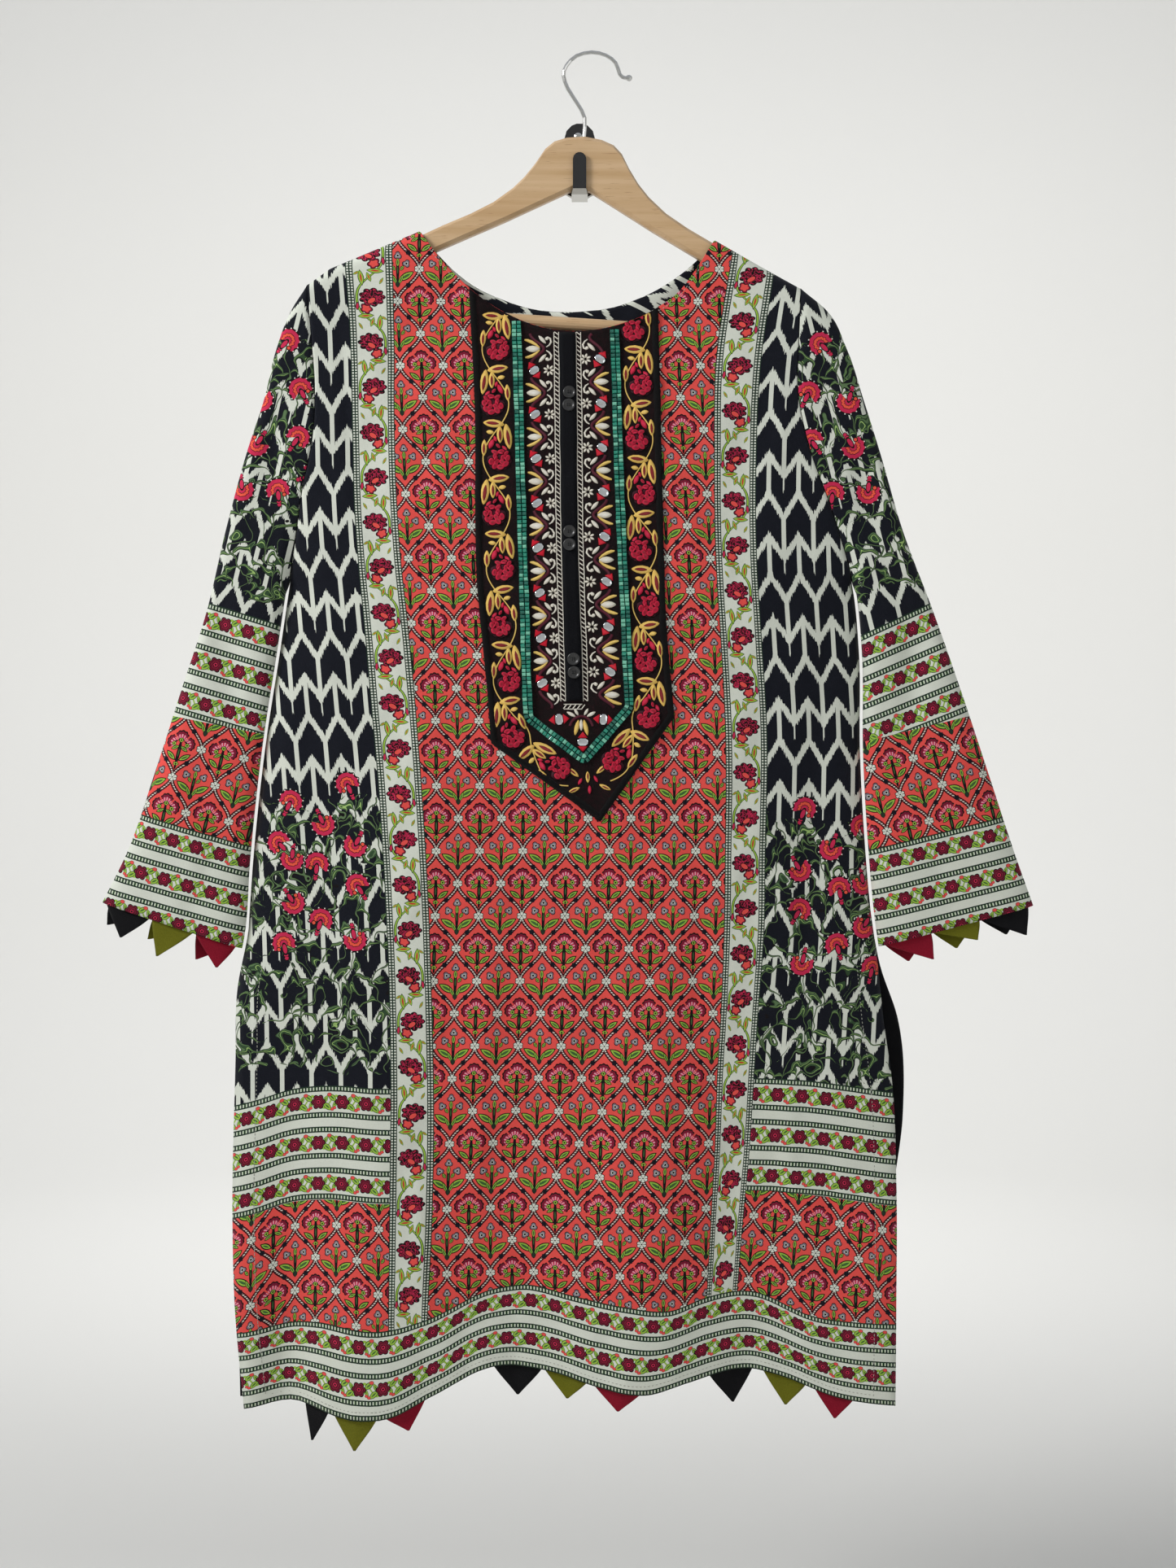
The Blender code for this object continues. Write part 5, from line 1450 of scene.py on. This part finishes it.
def rose(work, centre, forward, mirror):
    turn = np.linspace(0, 2 * math.pi, 48, endpoint=False)
    front, back = ROSE_REACH
    reach = back + (front - back) * smooth((np.cos(turn) + 0.55) / 0.5)
    reach = reach * (1 + 0.05 * np.abs(np.cos(turn * 7)))
    outline = np.stack([reach * np.cos(turn), reach * np.sin(turn)], -1)
    rings = ((1.0, 0.0), (0.94, 0.8), (0.6, 1.1), (0.3, 0.9))
    work.dome(centre, forward, outline, rings, "maroon", radial=True)
    aside = np.array((-forward[1], forward[0]))
    for rows, colour, lift in ((ROSE_PETALS, "crimson", 0.8), (ROSE_CREASES, "petal", 1.5)):
        for u, t, half_long, half_wide, degrees in rows:
            spot, way = centre + forward * u + aside * t * mirror, turned(forward, degrees * mirror)
            if colour == "crimson":
                work.petal(spot, way, half_long + 0.6, half_wide + 0.6, "velvet", 0.6, lift, 0.1)
            work.petal(spot, way, half_long, half_wide, colour, 0.7, lift + 0.2, 0.1)


def spray(work, read, start, mirror, whole):
    """A vine that swings over to the next rose, with its leaves and buds. The last one is a short sprig."""
    s = np.linspace(start - 2, start + (ROSE_STEP - 2 if whole else 14), 30)
    place, run = read(s)
    aside = np.stack([-run[:, 1], run[:, 0]], -1)
    swing = -VINE_ASIDE * np.cos(math.pi * (s - start) / ROSE_STEP) * mirror
    work.cord(place + aside * swing[:, None], 1.0, 0.5, "gold")
    if not whole:
        return
    for rows, colours in ((SPRAY_LEAVES, ("gold", "russet")), (SPRAY_BUDS, ("petal",))):
        for u, t, half_long, half_wide, degrees in rows:
            (spot,), (forward,) = read([start + u])
            spot = spot + np.array((-forward[1], forward[0])) * t * mirror
            way = turned(forward, degrees * mirror)
            work.petal(spot, way, half_long * 1.1, half_wide * 1.25, colours[0], 0.8)
            if len(colours) > 1 and half_long > 3:
                spot = spot + way * half_long * 0.1
                work.petal(spot, way, half_long * 0.7, half_wide * 0.55, colours[1], 0.45, 0.7)


def ribbon_edges(side, z):
    """x of the ribbon's inner edge and of the strip's edge, on the side -1 (viewer's left) or 1."""
    route = RIBBON[:3] if side < 0 else RIBBON[4:]
    edge = line([(z_at, x) for x, z_at in route])(z) - side * (RIBBON_WIDTH / 2 + 0.4)
    strip = line([(z_at, x) for x, z_at in PLACKET])(z) + side * (PLACKET_WIDTH / 2 + 0.3)
    return edge, strip


def motif(work, side, middle, low, high):
    """One repeat of the mirror work, in (down, in from the ribbon)."""

    def at(down, inwards):
        z = middle - down
        edge, strip = ribbon_edges(side, z)
        return np.array((edge + (strip - edge) * inwards / MOTIF_WIDTH, z))

    def way(down, inwards):
        return (-side * inwards, -down)

    def fits(*downs):
        return all(low < middle - down < high for down in downs)

    if fits(-6, 6):
        work.petal(at(0, 8), way(0, 1), 6.0, 2.7, "cream", 0.9)
        for up in (-1, 1):
            route = [at(up * a, b) for a, b in ((7.2, 1.6), (6.8, 4), (5.6, 7.2), (3.6, 10.6), (1.0, 13.6))]
            work.cord(route, (1.2, 2.4, 2.6, 2.0, 0.8), 0.8, "gold")
    downs = [a for a in np.linspace(-12.4, 12.4, 22) if fits(a)]
    if len(downs) > 4:
        route = [at(a, 5.6 + 11.2 * math.exp(-((a / 7) ** 2))) for a in downs]
        work.cord(route, 2.6, 0.7, "maroon")
    for up in (-1, 1):
        if fits(up * 12):
            work.petal(at(up * 7.6, 15.6), way(-up * 6, 5.5), 4.4, 1.5, "cream", 0.7)
            scroll = ((1.4, 18.6), (3.0, 21.0), (5.6, 22.6), (8.4, 22.0), (9.4, 19.8), (8.2, 18.6))
            work.cord([at(up * a, b) for a, b in scroll], (0.8, 1.3, 1.6, 1.6, 1.5, 1.2), 0.7, "cream")
            work.petal(at(up * 8.4, 19.2), way(0, 1), 1.4, 1.4, "cream", 0.8, 0, 0)
    if fits(13, 23):
        for number in range(7):
            angle = 2 * math.pi * number / 7
            work.petal(at(17.6 + 2.9 * math.sin(angle), 20.6 + 2.9 * math.cos(angle)),
                       way(math.sin(angle), math.cos(angle)), 1.9, 0.95, "cream", 0.7)
    if fits(12, 24):
        mirror_set(work, at(17.6, 8.6), way(-0.55, 0.83))


def mirror_set(work, centre, forward):
    """A six-sided mirror, its short sides along forward, between two red triangles."""
    forward = unit(np.asarray(forward, float))
    aside = np.array((-forward[1], forward[0]))
    half = ((4.3, 1.2), (2.4, 2.9), (-2.4, 2.9), (-4.3, 1.2))
    hexagon = half + tuple((-u, -v) for u, v in half)
    work.dome(centre, forward, hexagon, ((1.0, 0.0), (1.0, 0.7), (0.9, 0.9)), "mirror")
    for up in (-1, 1):
        triangle = ((4.0, 0), (0, 4.8), (-4.0, 0))
        inner = [(u, v - 1.4) for u, v in triangle]
        work.dome(centre + aside * up * 4.8, forward, [(u, v * up) for u, v in inner],
                  ((1.0, 0.0), (0.86, 0.6), (0.5, 0.7)), "scarlet")


def ladder(work, route):
    """Two lines of stitches with slanting rungs between, along a route's middle."""
    read = soft_route(route)
    length = float(np.linalg.norm(np.diff(np.asarray(route, float), axis=0), axis=1).sum())
    s = np.arange(0, length, 2.4)
    place, run = read(s)
    aside = np.stack([-run[:, 1], run[:, 0]], -1)
    for off in (-1.9, 1.9):
        work.cord(place + aside * off, 0.8, 0.6, "cream")
    for s in np.arange(1, length, LADDER_STEP):
        (spot,), (forward,) = read([s])
        way = turned(forward, 52)
        work.cord([spot - way * 2.0, spot, spot + way * 2.0], 0.9, 0.6, "cream", 0.15)


def yoke_work():
    work = Stitchwork()
    for route, first, mirror in ROSE_ROUTES:
        read = soft_route(route)
        flip = mirror
        for number in range(ROSES):
            start = first + number * ROSE_STEP
            (place,), (forward,) = read([start])
            aside = np.array((-forward[1], forward[0]))
            rose(work, place + aside * ROSE_ASIDE * flip, forward, flip)
            spray(work, read, start, flip, number < ROSES - 1)
            if number == 0:
                spray(work, read, start - ROSE_STEP, -flip, True)
            flip = -flip
    for side, middle in MOTIF_SIDES:
        for number in range(-3, 6):
            motif(work, side, middle - number * MOTIF_STEP, -449, -146)
        edge = PLACKET_WIDTH / 2 + 2.6
        ladder(work, [(x + side * edge, z) for x, z in PLACKET[:-1]] + [(PLACKET[-1][0] + side * edge, -445)])
    end_x = PLACKET[-1][0]
    ladder(work, ((end_x - 8, -447.4), (end_x + 8, -447.4)))
    lower_end(work)
    point_sprigs(work)
    edging(work)
    return work


def lower_end(work):
    """What fills the ribbon's point under the strip."""
    for side in (-1, 1):
        mirror_set(work, np.array((1.4 + side * 17.6, -457.5)), (0.1 * side, 1))
        work.petal(np.array((1.4 + side * 3.6, -464)), (-0.24 * side, 1), 6.4, 1.8, "gold", 0.8)
        work.petal(np.array((1.4 + side * 8, -453.4)), (1, 0.55 * side), 4.0, 1.4, "cream", 0.7)
        work.petal(np.array((1.4 + side * 4, -451.6)), (0.6, 1 * side), 3.2, 1.2, "cream", 0.7)
    arc = [(1.4 + 9.6 * math.cos(a), -466 + 11 * math.sin(a)) for a in np.linspace(0.3, math.pi - 0.3, 16)]
    work.cord(arc, 2.2, 0.7, "maroon")
    work.petal(np.array((1.4, -462)), (0, 1), 4.6, 1.5, "cream", 0.8)
    mirror_set(work, np.array((2.6, -475.5)), (1, 0))


def point_sprigs(work):
    """Leaves and buds where both rows of roses meet at the patch's point."""
    for x, z, degrees, half_long, half_wide, colour in POINT_SPRIGS:
        way = turned((1, 0), degrees)
        work.petal(np.array((x, z)), way, half_long, half_wide, colour, 0.8)
        if colour == "gold":
            spot = np.array((x, z)) + way * 0.5
            work.petal(spot, way, half_long * 0.6, half_wide * 0.4, "russet", 0.45, 0.7)


def edging(work):
    """Velvet along the patch's two sides and its point, its pile a little ragged."""
    left = [(curve(YOKE_LEFT)(z) + 2.6, z) for z in np.linspace(-112, -474, 60)]
    right = [(line(YOKE_RIGHT)(z) - 2.6, z) for z in np.linspace(-452, -122, 60)]
    (x0, z0), (x1, z1), (x2, z2) = YOKE_BOTTOM
    point = [(x0 + 3.6, z0 + 0.4), (x1 - 0.4, z1 + 4.0), (x2 - 3.0, z2 + 0.4)]
    bottom = []
    for (ax, az), (bx, bz) in zip(point, point[1:]):
        bottom += [(ax + (bx - ax) * s, az + (bz - az) * s) for s in np.linspace(0, 1, 40)[:-1]]
    route = np.array(left + bottom + [point[-1]] + right)
    lengths = np.concatenate([[0], np.cumsum(np.linalg.norm(np.diff(route, axis=0), axis=1))])
    s = np.arange(0, lengths[-1], 1.2)
    dense = np.stack([np.interp(s, lengths, route[:, k]) for k in (0, 1)], -1)
    ragged = 5.2 + 0.5 * np.sin(s * 2.9) * np.sin(s * 1.13) + 0.3 * np.sin(s * 5.1)
    work.cord(dense, ragged, 1.4, "velvet")


def beads(materials):
    """The ribbon: a dark tape with two rows of glass beads sewn along it. The beads of the third kind are
    pale all over, a painted glint on the glass.
    """
    read = soft_route(RIBBON, rounded=6)
    length = float(np.linalg.norm(np.diff(np.asarray(RIBBON, float), axis=0), axis=1).sum())
    points, faces, indices, spots = [], [], [], []
    chance = np.random.default_rng(5)
    for s in np.arange(BEAD_STEP / 2, length, BEAD_STEP):
        (place,), (forward,) = read([s])
        aside = np.array((-forward[1], forward[0]))
        for row in (-1, 1):
            tilt = turned(forward, chance.uniform(-7, 7))
            # the third kind, the pale beads, are painted glints: whole beads coloured as highlights on the
            # glass
            spots.append((place + aside * BEAD_ASIDE * row, tilt, chance.choice(3, p=(0.4, 0.3, 0.3))))
    for centre, forward, kind in spots:
        aside = np.array((-forward[1], forward[0]))
        start = len(points)
        for share_long, share_wide, height in BEAD_RINGS:
            for u, v in ((-1, -1), (1, -1), (1, 1), (-1, 1)):
                x, z = centre + forward * u * BEAD_LONG * share_long + aside * v * BEAD_WIDE * share_wide
                points.append((x, z, TAPE_TOP + BEAD_HIGH * height))
        for ring in range(3):
            for i in range(4):
                j = (i + 1) % 4
                faces.append([start + ring * 4 + i, start + ring * 4 + j, start + ring * 4 + 4 + j,
                              start + ring * 4 + 4 + i])
        faces.append([start + 12, start + 13, start + 14, start + 15])
        indices += [kind] * 13
    s = np.linspace(0, length, 220)
    place, run = read(s)
    aside = np.stack([-run[:, 1], run[:, 0]], -1)
    start = len(points)
    for off, height in ((-4.0, YOKE_TOP - 0.4), (-4.0, TAPE_TOP), (4.0, TAPE_TOP), (4.0, YOKE_TOP - 0.4)):
        points += [(x, z, height) for x, z in place + aside * off]
    for row in range(3):
        for i in range(len(s) - 1):
            a = start + row * len(s) + i
            faces.append([a, a + 1, a + 1 + len(s), a + len(s)])
            indices.append(3)
    x, z, out = np.array(points).T
    made = piece("beaded_ribbon", surface_point(x, z, -1, out), faces, materials, indices)
    made.data.shade_flat()
    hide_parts("yoke_ribbon")
    return made


def laid_shell(name, x, z, face, out, thick, material, grid):
    """A shell that lies on a dressed panel."""
    made = shell(name, surface_point(x, z, face, out + thick), surface_point(x, z, face, out),
                 lambda r, c: (0, grid), [material])
    return made


def yoke_net(material):
    left, right, bottom = curve(YOKE_LEFT), line(YOKE_RIGHT), line(YOKE_BOTTOM)
    (x0, _), (x1, _), (x2, _) = YOKE_BOTTOM
    tip = (x1 - x0) / (x2 - x0)
    before, after = YOKE_CELLS
    across = np.concatenate([np.linspace(0, tip, before), np.linspace(tip, 1, after + 1)[1:]])
    down = np.linspace(0, 1, YOKE_DOWN)[:, None]
    x = left(YOKE_LEVEL) + (right(YOKE_LEVEL) - left(YOKE_LEVEL)) * across
    low = bottom(x0 + (x2 - x0) * across)
    z = front_neck(x) + (low - front_neck(x)) * down
    x = left(z) + (right(z) - left(z)) * across
    z[0] = front_neck(x[0]) - LAID
    made = laid_shell("yoke_net", x, z, -1, LAID, TRIM, material, np.stack([x, z], -1))
    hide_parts("yoke_patch")
    return made


def placket(material):
    down = np.linspace(0, 1, STRIP_ROWS)
    z = PLACKET[0][1] + (PLACKET[-1][1] - PLACKET[0][1]) * down
    middle = line([(z_at, x) for x, z_at in PLACKET])(z)
    across = np.linspace(-0.5, 0.5, STRIP_COLUMNS) * PLACKET_WIDTH
    x = middle[:, None] + across
    z = np.broadcast_to(z[:, None], x.shape)
    made = laid_shell("placket_cloth", x, z, -1, TAPE_TOP, TRIM, material, np.stack([x, z], -1))
    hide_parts("placket_strip")
    return made


# A button: rings of (share of its radius, height), its four holes and their thread
BUTTON_RINGS = ((0.9, 0.0), (1.0, 0.35), (1.0, 1.1), (0.93, 1.6), (0.84, 1.7), (0.74, 1.5), (0.68, 1.0),
                (0.5, 0.9), (0.0001, 0.9))
BUTTON_TURNS = 40
HOLE_OFF, HOLE_RADIUS, HOLE_LIFT = 1.15, 0.62, 0.94


def button(number, x, z, materials):
    base = TAPE_TOP + TRIM + SEAM / 2
    here, above = surface_point([x, x], [z, z], -1, [base, base + 1])
    away = unit(above - here)
    across = unit(np.cross(away, (0, 0, 1)))
    upward = np.cross(across, away)
    points, faces, indices = [], [], []
    turn = np.linspace(0, 2 * math.pi, BUTTON_TURNS, endpoint=False)
    for share, height in BUTTON_RINGS:
        radius = BUTTON_ACROSS / 2 * share
        centre = here + away * height
        points += [centre + radius * (math.cos(a) * across + math.sin(a) * upward) for a in turn]
    for ring in range(len(BUTTON_RINGS) - 1):
        for i in range(BUTTON_TURNS):
            j = (i + 1) % BUTTON_TURNS
            a = ring * BUTTON_TURNS
            faces.append([a + i, a + j, a + BUTTON_TURNS + j, a + BUTTON_TURNS + i])
            indices.append(0)
    for hole in range(4):
        angle = math.pi / 4 + hole * math.pi / 2
        spot = here + away * HOLE_LIFT + HOLE_OFF * (math.cos(angle) * across + math.sin(angle) * upward)
        start = len(points)
        ring = turn[::4]
        points += [spot + HOLE_RADIUS * (math.cos(a) * across + math.sin(a) * upward) for a in ring]
        faces.append(list(range(start, start + len(ring))))
        indices.append(1)
    for side in (-1, 1):
        middle = here + across * side * HOLE_OFF * 0.7
        start = len(points)
        for height, half in ((HOLE_LIFT, 0.32), (1.25, 0.2)):
            for u, v in ((-half, -1), (half, -1), (half, 1), (-half, 1)):
                points.append(middle + away * height + across * u + upward * v * HOLE_OFF * 0.8)
        faces += [[start, start + 1, start + 5, start + 4], [start + 1, start + 2, start + 6, start + 5],
                  [start + 2, start + 3, start + 7, start + 6], [start + 3, start, start + 4, start + 7],
                  [start + 4, start + 5, start + 6, start + 7]]
        indices += [2] * 5
    made = piece(f"sewn_button_{number}", points, faces, materials, indices)
    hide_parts(f"button_{number}")
    return made


FACING_CELLS = (84, 14)


def facing(material):
    columns, rows = FACING_CELLS
    x = np.linspace(FACING_LEFT, FACING_RIGHT, columns)
    z = back_neck(x) - LAID - (FACING_DEEP - LAID) * np.linspace(0, 1, rows)[:, None]
    x = np.broadcast_to(x, z.shape)
    turn = math.radians(62)
    grid = np.stack([x * math.cos(turn) + z * math.sin(turn), z * math.cos(turn) - x * math.sin(turn)], -1)
    made = laid_shell("neck_facing", x, z, 1, -SHELL - SEAM - SHELL, SHELL, material, grid)
    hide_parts("back_neck_facing")
    return made


# Folded points: rows and columns of one, how its fold line rises, and its thickness
POINT_ROWS, POINT_COLUMNS, POINT_FOLD, POINT_THICK = 10, 13, 0.7, 0.8


def point_tab(name, node, top, edge, tip, back, material):
    """A folded triangle from its hidden top row, through the hem's edge, to its tip."""
    shares = np.linspace(-1, 1, POINT_COLUMNS)
    rows = [top]
    for t in np.linspace(0, 1, POINT_ROWS):
        bow = 0.9 * math.sin(math.pi * t)
        row = edge * (1 - t) + tip * t
        row = row + (row - row.mean(axis=0)) * 0.06 * math.sin(math.pi * t)
        row[:, 1] += back * (bow + POINT_FOLD * np.abs(shares - 0.15) * (1 - t) * -0.6)
        rows.append(row)
    outer = np.array(rows)
    inner = outer + np.array((0, back, 0)) * POINT_THICK
    grid = outer[..., (0, 2)]
    made = shell(name, outer, inner, lambda r, c: (0, grid), [material])
    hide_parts(node)
    return made


def blunt_tip(x, z, edge):
    half = POINT_BLUNT / 2 * np.sign(edge[-1, 0] - edge[0, 0])
    across = x + half * np.linspace(-1, 1, len(edge))
    return np.stack([across, np.full_like(across, np.mean(edge[:, 1])), np.full_like(across, z)], -1)


def points(cloths):
    made = []
    behind = WALL + 2 * LAID
    for number, (x0, x1, tip_x, tip_z, colour) in enumerate(HEM_POINTS, 1):
        x = np.linspace(x0, x1, POINT_COLUMNS)
        z = hem(x) + POINT_SUNK
        edge = surface_point(x, z, -1, -behind)
        top = surface_point(x, z + POINT_HIDDEN, -1, -behind)
        tip = blunt_tip(tip_x, tip_z, edge)
        made.append(point_tab(f"hem_tab_{number}", f"hem_point_{number}", top, edge, tip, 1, cloths[colour]))
    for side in SLEEVES:
        rows = [row for row in CUFF_POINTS if row[0] == side]
        for number, (_, face, start, end, tip_x, tip_z, colour) in enumerate(rows, 1):
            shares = np.linspace(start, end, POINT_COLUMNS)
            edge, above = cuff_edge(side, shares, face)
            edge[:, 1] -= face * (WALL + LAID)
            top = edge + unit(above - edge) * POINT_HIDDEN
            top[:, 1] = edge[:, 1] - face * LAID
            made.append(point_tab(f"cuff_{side}_tab_{number}", f"cuff_{side}_point_{number}", top, edge,
                                  blunt_tip(tip_x, tip_z, edge), -face, cloths[colour]))
    return made


def cuff_edge(side, shares, face):
    """Points of the cuff's edge and of the ring above it, at shares from the outer to the inner edge."""
    away = -1 if side == "left" else 1
    edge_x = EDGES[-1][0 if side == "left" else 1]
    found = []
    for outer_x, outer_z, inner_z, half in SLEEVES[side][:-3:-1]:
        inner_x = edge_x(inner_z) + away * SLEEVE_CLEAR
        shape = (1 - np.abs(2 * shares - 1) ** SLEEVE_ROUND) ** 0.5
        x = outer_x + (inner_x - outer_x) * shares
        z = outer_z + (inner_z - outer_z) * shares
        relief = sum(crease(x, z, row) for row in SLEEVE_CREASES[side]) * shape
        found.append(np.stack([x, SIDE_Y + face * (half * shape + relief * (face < 0)), z], -1))
    return found


# Lines of stitches on the front: (x, z) routes, and how long a stitch and its gap are
STITCH_LONG, STITCH_GAP, STITCH_WIDE, STITCH_HIGH = 2.3, 0.9, 0.55, 0.3
SLIT_STITCH, HEM_STITCH, NECK_STITCH = 18.0, 7.0, 3.2


def stitch_routes():
    z = np.linspace(-655, -1000, 80)
    x = np.linspace(-248, 234, 120)
    neck = np.linspace(-122, 101, 60)
    return (
        list(zip(EDGES[-1][0](z) + SLIT_STITCH, z)),
        list(zip(EDGES[-1][1](z) - SLIT_STITCH, z)),
        list(zip(x, hem(x) + HEM_STITCH)),
        list(zip(neck, front_neck(neck) - NECK_STITCH - 0.4 * np.abs(np.gradient(front_neck(neck), neck)))),
    )


def topstitching(material):
    points, faces = [], []
    for route in stitch_routes():
        route = np.array(route)
        lengths = np.concatenate([[0], np.cumsum(np.linalg.norm(np.diff(route, axis=0), axis=1))])
        for s in np.arange(0, lengths[-1] - STITCH_LONG, STITCH_LONG + STITCH_GAP):
            ends = np.stack([np.interp((s, s + STITCH_LONG), lengths, route[:, k]) for k in (0, 1)], -1)
            run = unit(ends[1] - ends[0])
            aside = np.array((-run[1], run[0])) * STITCH_WIDE / 2
            start = len(points)
            for spot, height in ((ends[0], -0.1), (ends.mean(axis=0), STITCH_HIGH), (ends[1], -0.1)):
                points += [(*(spot - aside), height - 0.1), (*spot, height), (*(spot + aside), height - 0.1)]
            for row in range(2):
                for column in range(2):
                    a = start + row * 3 + column
                    faces.append([a, a + 1, a + 4, a + 3])
    x, z, out = np.array(points).T
    made = piece("topstitching", surface_point(x, z, -1, out), faces, [material])
    return made


def hanger_materials():
    """Better finishes on the hanger's and the wall hook's own solids."""
    wood = wood_material()
    steel = hard_material("polished_steel", colour_of(214, 214, 212), 0.16, 1.0, scale=300)
    finishes = {"hanger_body": wood, "hanger_bar": wood, "hanger_hook": steel, "wall_screw": steel,
                "wall_hook": hook_material()}
    for node, material in finishes.items():
        for slot in bpy.data.objects[node].material_slots:
            slot.material = material


def wood_material():
    """Pale lacquered beech: long grain along X with small dark flecks."""
    made = bpy.data.materials.new("pale_beech")
    made.use_nodes = True
    tree = made.node_tree
    shader = tree.nodes["Principled BSDF"]
    place = tree.nodes.new("ShaderNodeTexCoord")
    colours = []
    for scale, dark, pale, low, high in (((6, 90, 160), (196, 160, 116), (214, 182, 142), 0.35, 0.7),
                                         ((60, 900, 1400), (168, 130, 88), (255, 255, 255), 0.3, 0.36)):
        stretch = tree.nodes.new("ShaderNodeMapping")
        stretch.inputs["Scale"].default_value = scale
        tree.links.new(place.outputs["Object"], stretch.inputs["Vector"])
        noise = tree.nodes.new("ShaderNodeTexNoise")
        noise.inputs["Scale"].default_value = 1.0
        noise.inputs["Detail"].default_value = 4.0
        tree.links.new(stretch.outputs[0], noise.inputs["Vector"])
        ramp = tree.nodes.new("ShaderNodeValToRGB")
        for mark, at, colour in zip(ramp.color_ramp.elements, (low, high), (dark, pale)):
            mark.position = at
            mark.color = colour_of(*colour)
        tree.links.new(noise.outputs[0], ramp.inputs[0])
        colours.append(ramp.outputs[0])
    both = tree.nodes.new("ShaderNodeMix")
    both.data_type, both.blend_type = "RGBA", "MULTIPLY"
    both.inputs[0].default_value = 0.5
    tree.links.new(colours[0], both.inputs[6])
    tree.links.new(colours[1], both.inputs[7])
    tree.links.new(both.outputs[2], shader.inputs["Base Color"])
    shader.inputs["Roughness"].default_value = 0.42
    shader.inputs["Coat Weight"].default_value = 0.25
    return made


def hook_material():
    """Black enamel, with pale bare metal on the faces that point down."""
    made = hard_material("black_enamel", colour_of(34, 34, 36), 0.34, 0.2, 0.3)
    tree = made.node_tree
    shader = tree.nodes["Principled BSDF"]
    geometry = tree.nodes.new("ShaderNodeNewGeometry")
    parts = tree.nodes.new("ShaderNodeSeparateXYZ")
    tree.links.new(geometry.outputs["True Normal"], parts.inputs[0])
    under = tree.nodes.new("ShaderNodeMath")
    under.operation = "LESS_THAN"
    under.inputs[1].default_value = -0.35
    tree.links.new(parts.outputs[2], under.inputs[0])
    mix = tree.nodes.new("ShaderNodeMix")
    mix.data_type = "RGBA"
    mix.inputs[7].default_value = colour_of(196, 194, 188)
    tree.links.new(under.outputs[0], mix.inputs[0])
    tree.links.new(shader.inputs["Base Color"].links[0].from_socket, mix.inputs[6])
    tree.links.new(mix.outputs[2], shader.inputs["Base Color"])
    tree.links.new(under.outputs[0], shader.inputs["Metallic"])
    return made


def thread_materials():
    made = [thread(f"{name}_thread", *COLOURS[name]) for name in THREADS[:-2]]
    mirror = hard_material("mirror_glass", colour_of(236, 240, 244), 0.06, 1.0)
    velvet = plain_cloth("black_velvet", colour_of(11, 9, 10), roughness=0.95, sheen=0.12)
    return made + [mirror, velvet]


def cut_sheets(tabs):
    for tab in tabs:
        support = "front_cloth" if tab.name.startswith("hem") else f"sleeve_{tab.name.split('_')[1]}_cloth"


def dress():
    prints = {"trellis": trellis_print(), "border": border_print(), "band": band_print(),
              "ikat": ikat_print(False), "ikat_flower": ikat_print(True),
              "black": plain_cloth("black_cotton_cloth", colour_of(15, 15, 18), sheen=0.05)}
    stage()
    camera_and_lights()
    front_panel(prints)
    back_panel(prints)
    for side in SLEEVES:
        sleeve_cloth(side, prints)
    yoke_net(net_material())
    strip = placket(plain_cloth("strip_cloth", colour_of(7, 8, 14), sheen=0.05))
    yoke_work().build("yoke_embroidery", thread_materials())
    beads([hard_material("teal_bead", colour_of(34, 140, 116), 0.14, coat=1.0),
           hard_material("dark_teal_bead", colour_of(14, 100, 84), 0.16, coat=1.0),
           # the pale beads: a painted glint, not the glass's own colour
           hard_material("pale_teal_bead", colour_of(120, 196, 168), 0.1, coat=1.0),
           plain_cloth("ribbon_tape", colour_of(14, 40, 38))])
    button_look = [hard_material("button_black", colour_of(44, 44, 44), 0.35, coat=0.2),
                   hard_material("button_hole", colour_of(6, 6, 6), 0.8),
                   hard_material("button_thread", colour_of(20, 20, 24), 0.8)]
    for number, (x, z) in enumerate(BUTTONS, 1):
        button(number, x, z, button_look)
    facing(prints["ikat"])
    cloths = {"black": prints["black"],
              "olive": plain_cloth("olive_cotton_cloth", colour_of(112, 112, 22)),
              "red": plain_cloth("red_cotton_cloth", colour_of(142, 14, 40))}
    cut_sheets(points(cloths))
    topstitching(thread("sewing_thread", colour_of(190, 192, 180), colour_of(170, 172, 160)))
    hanger_materials()


dress()
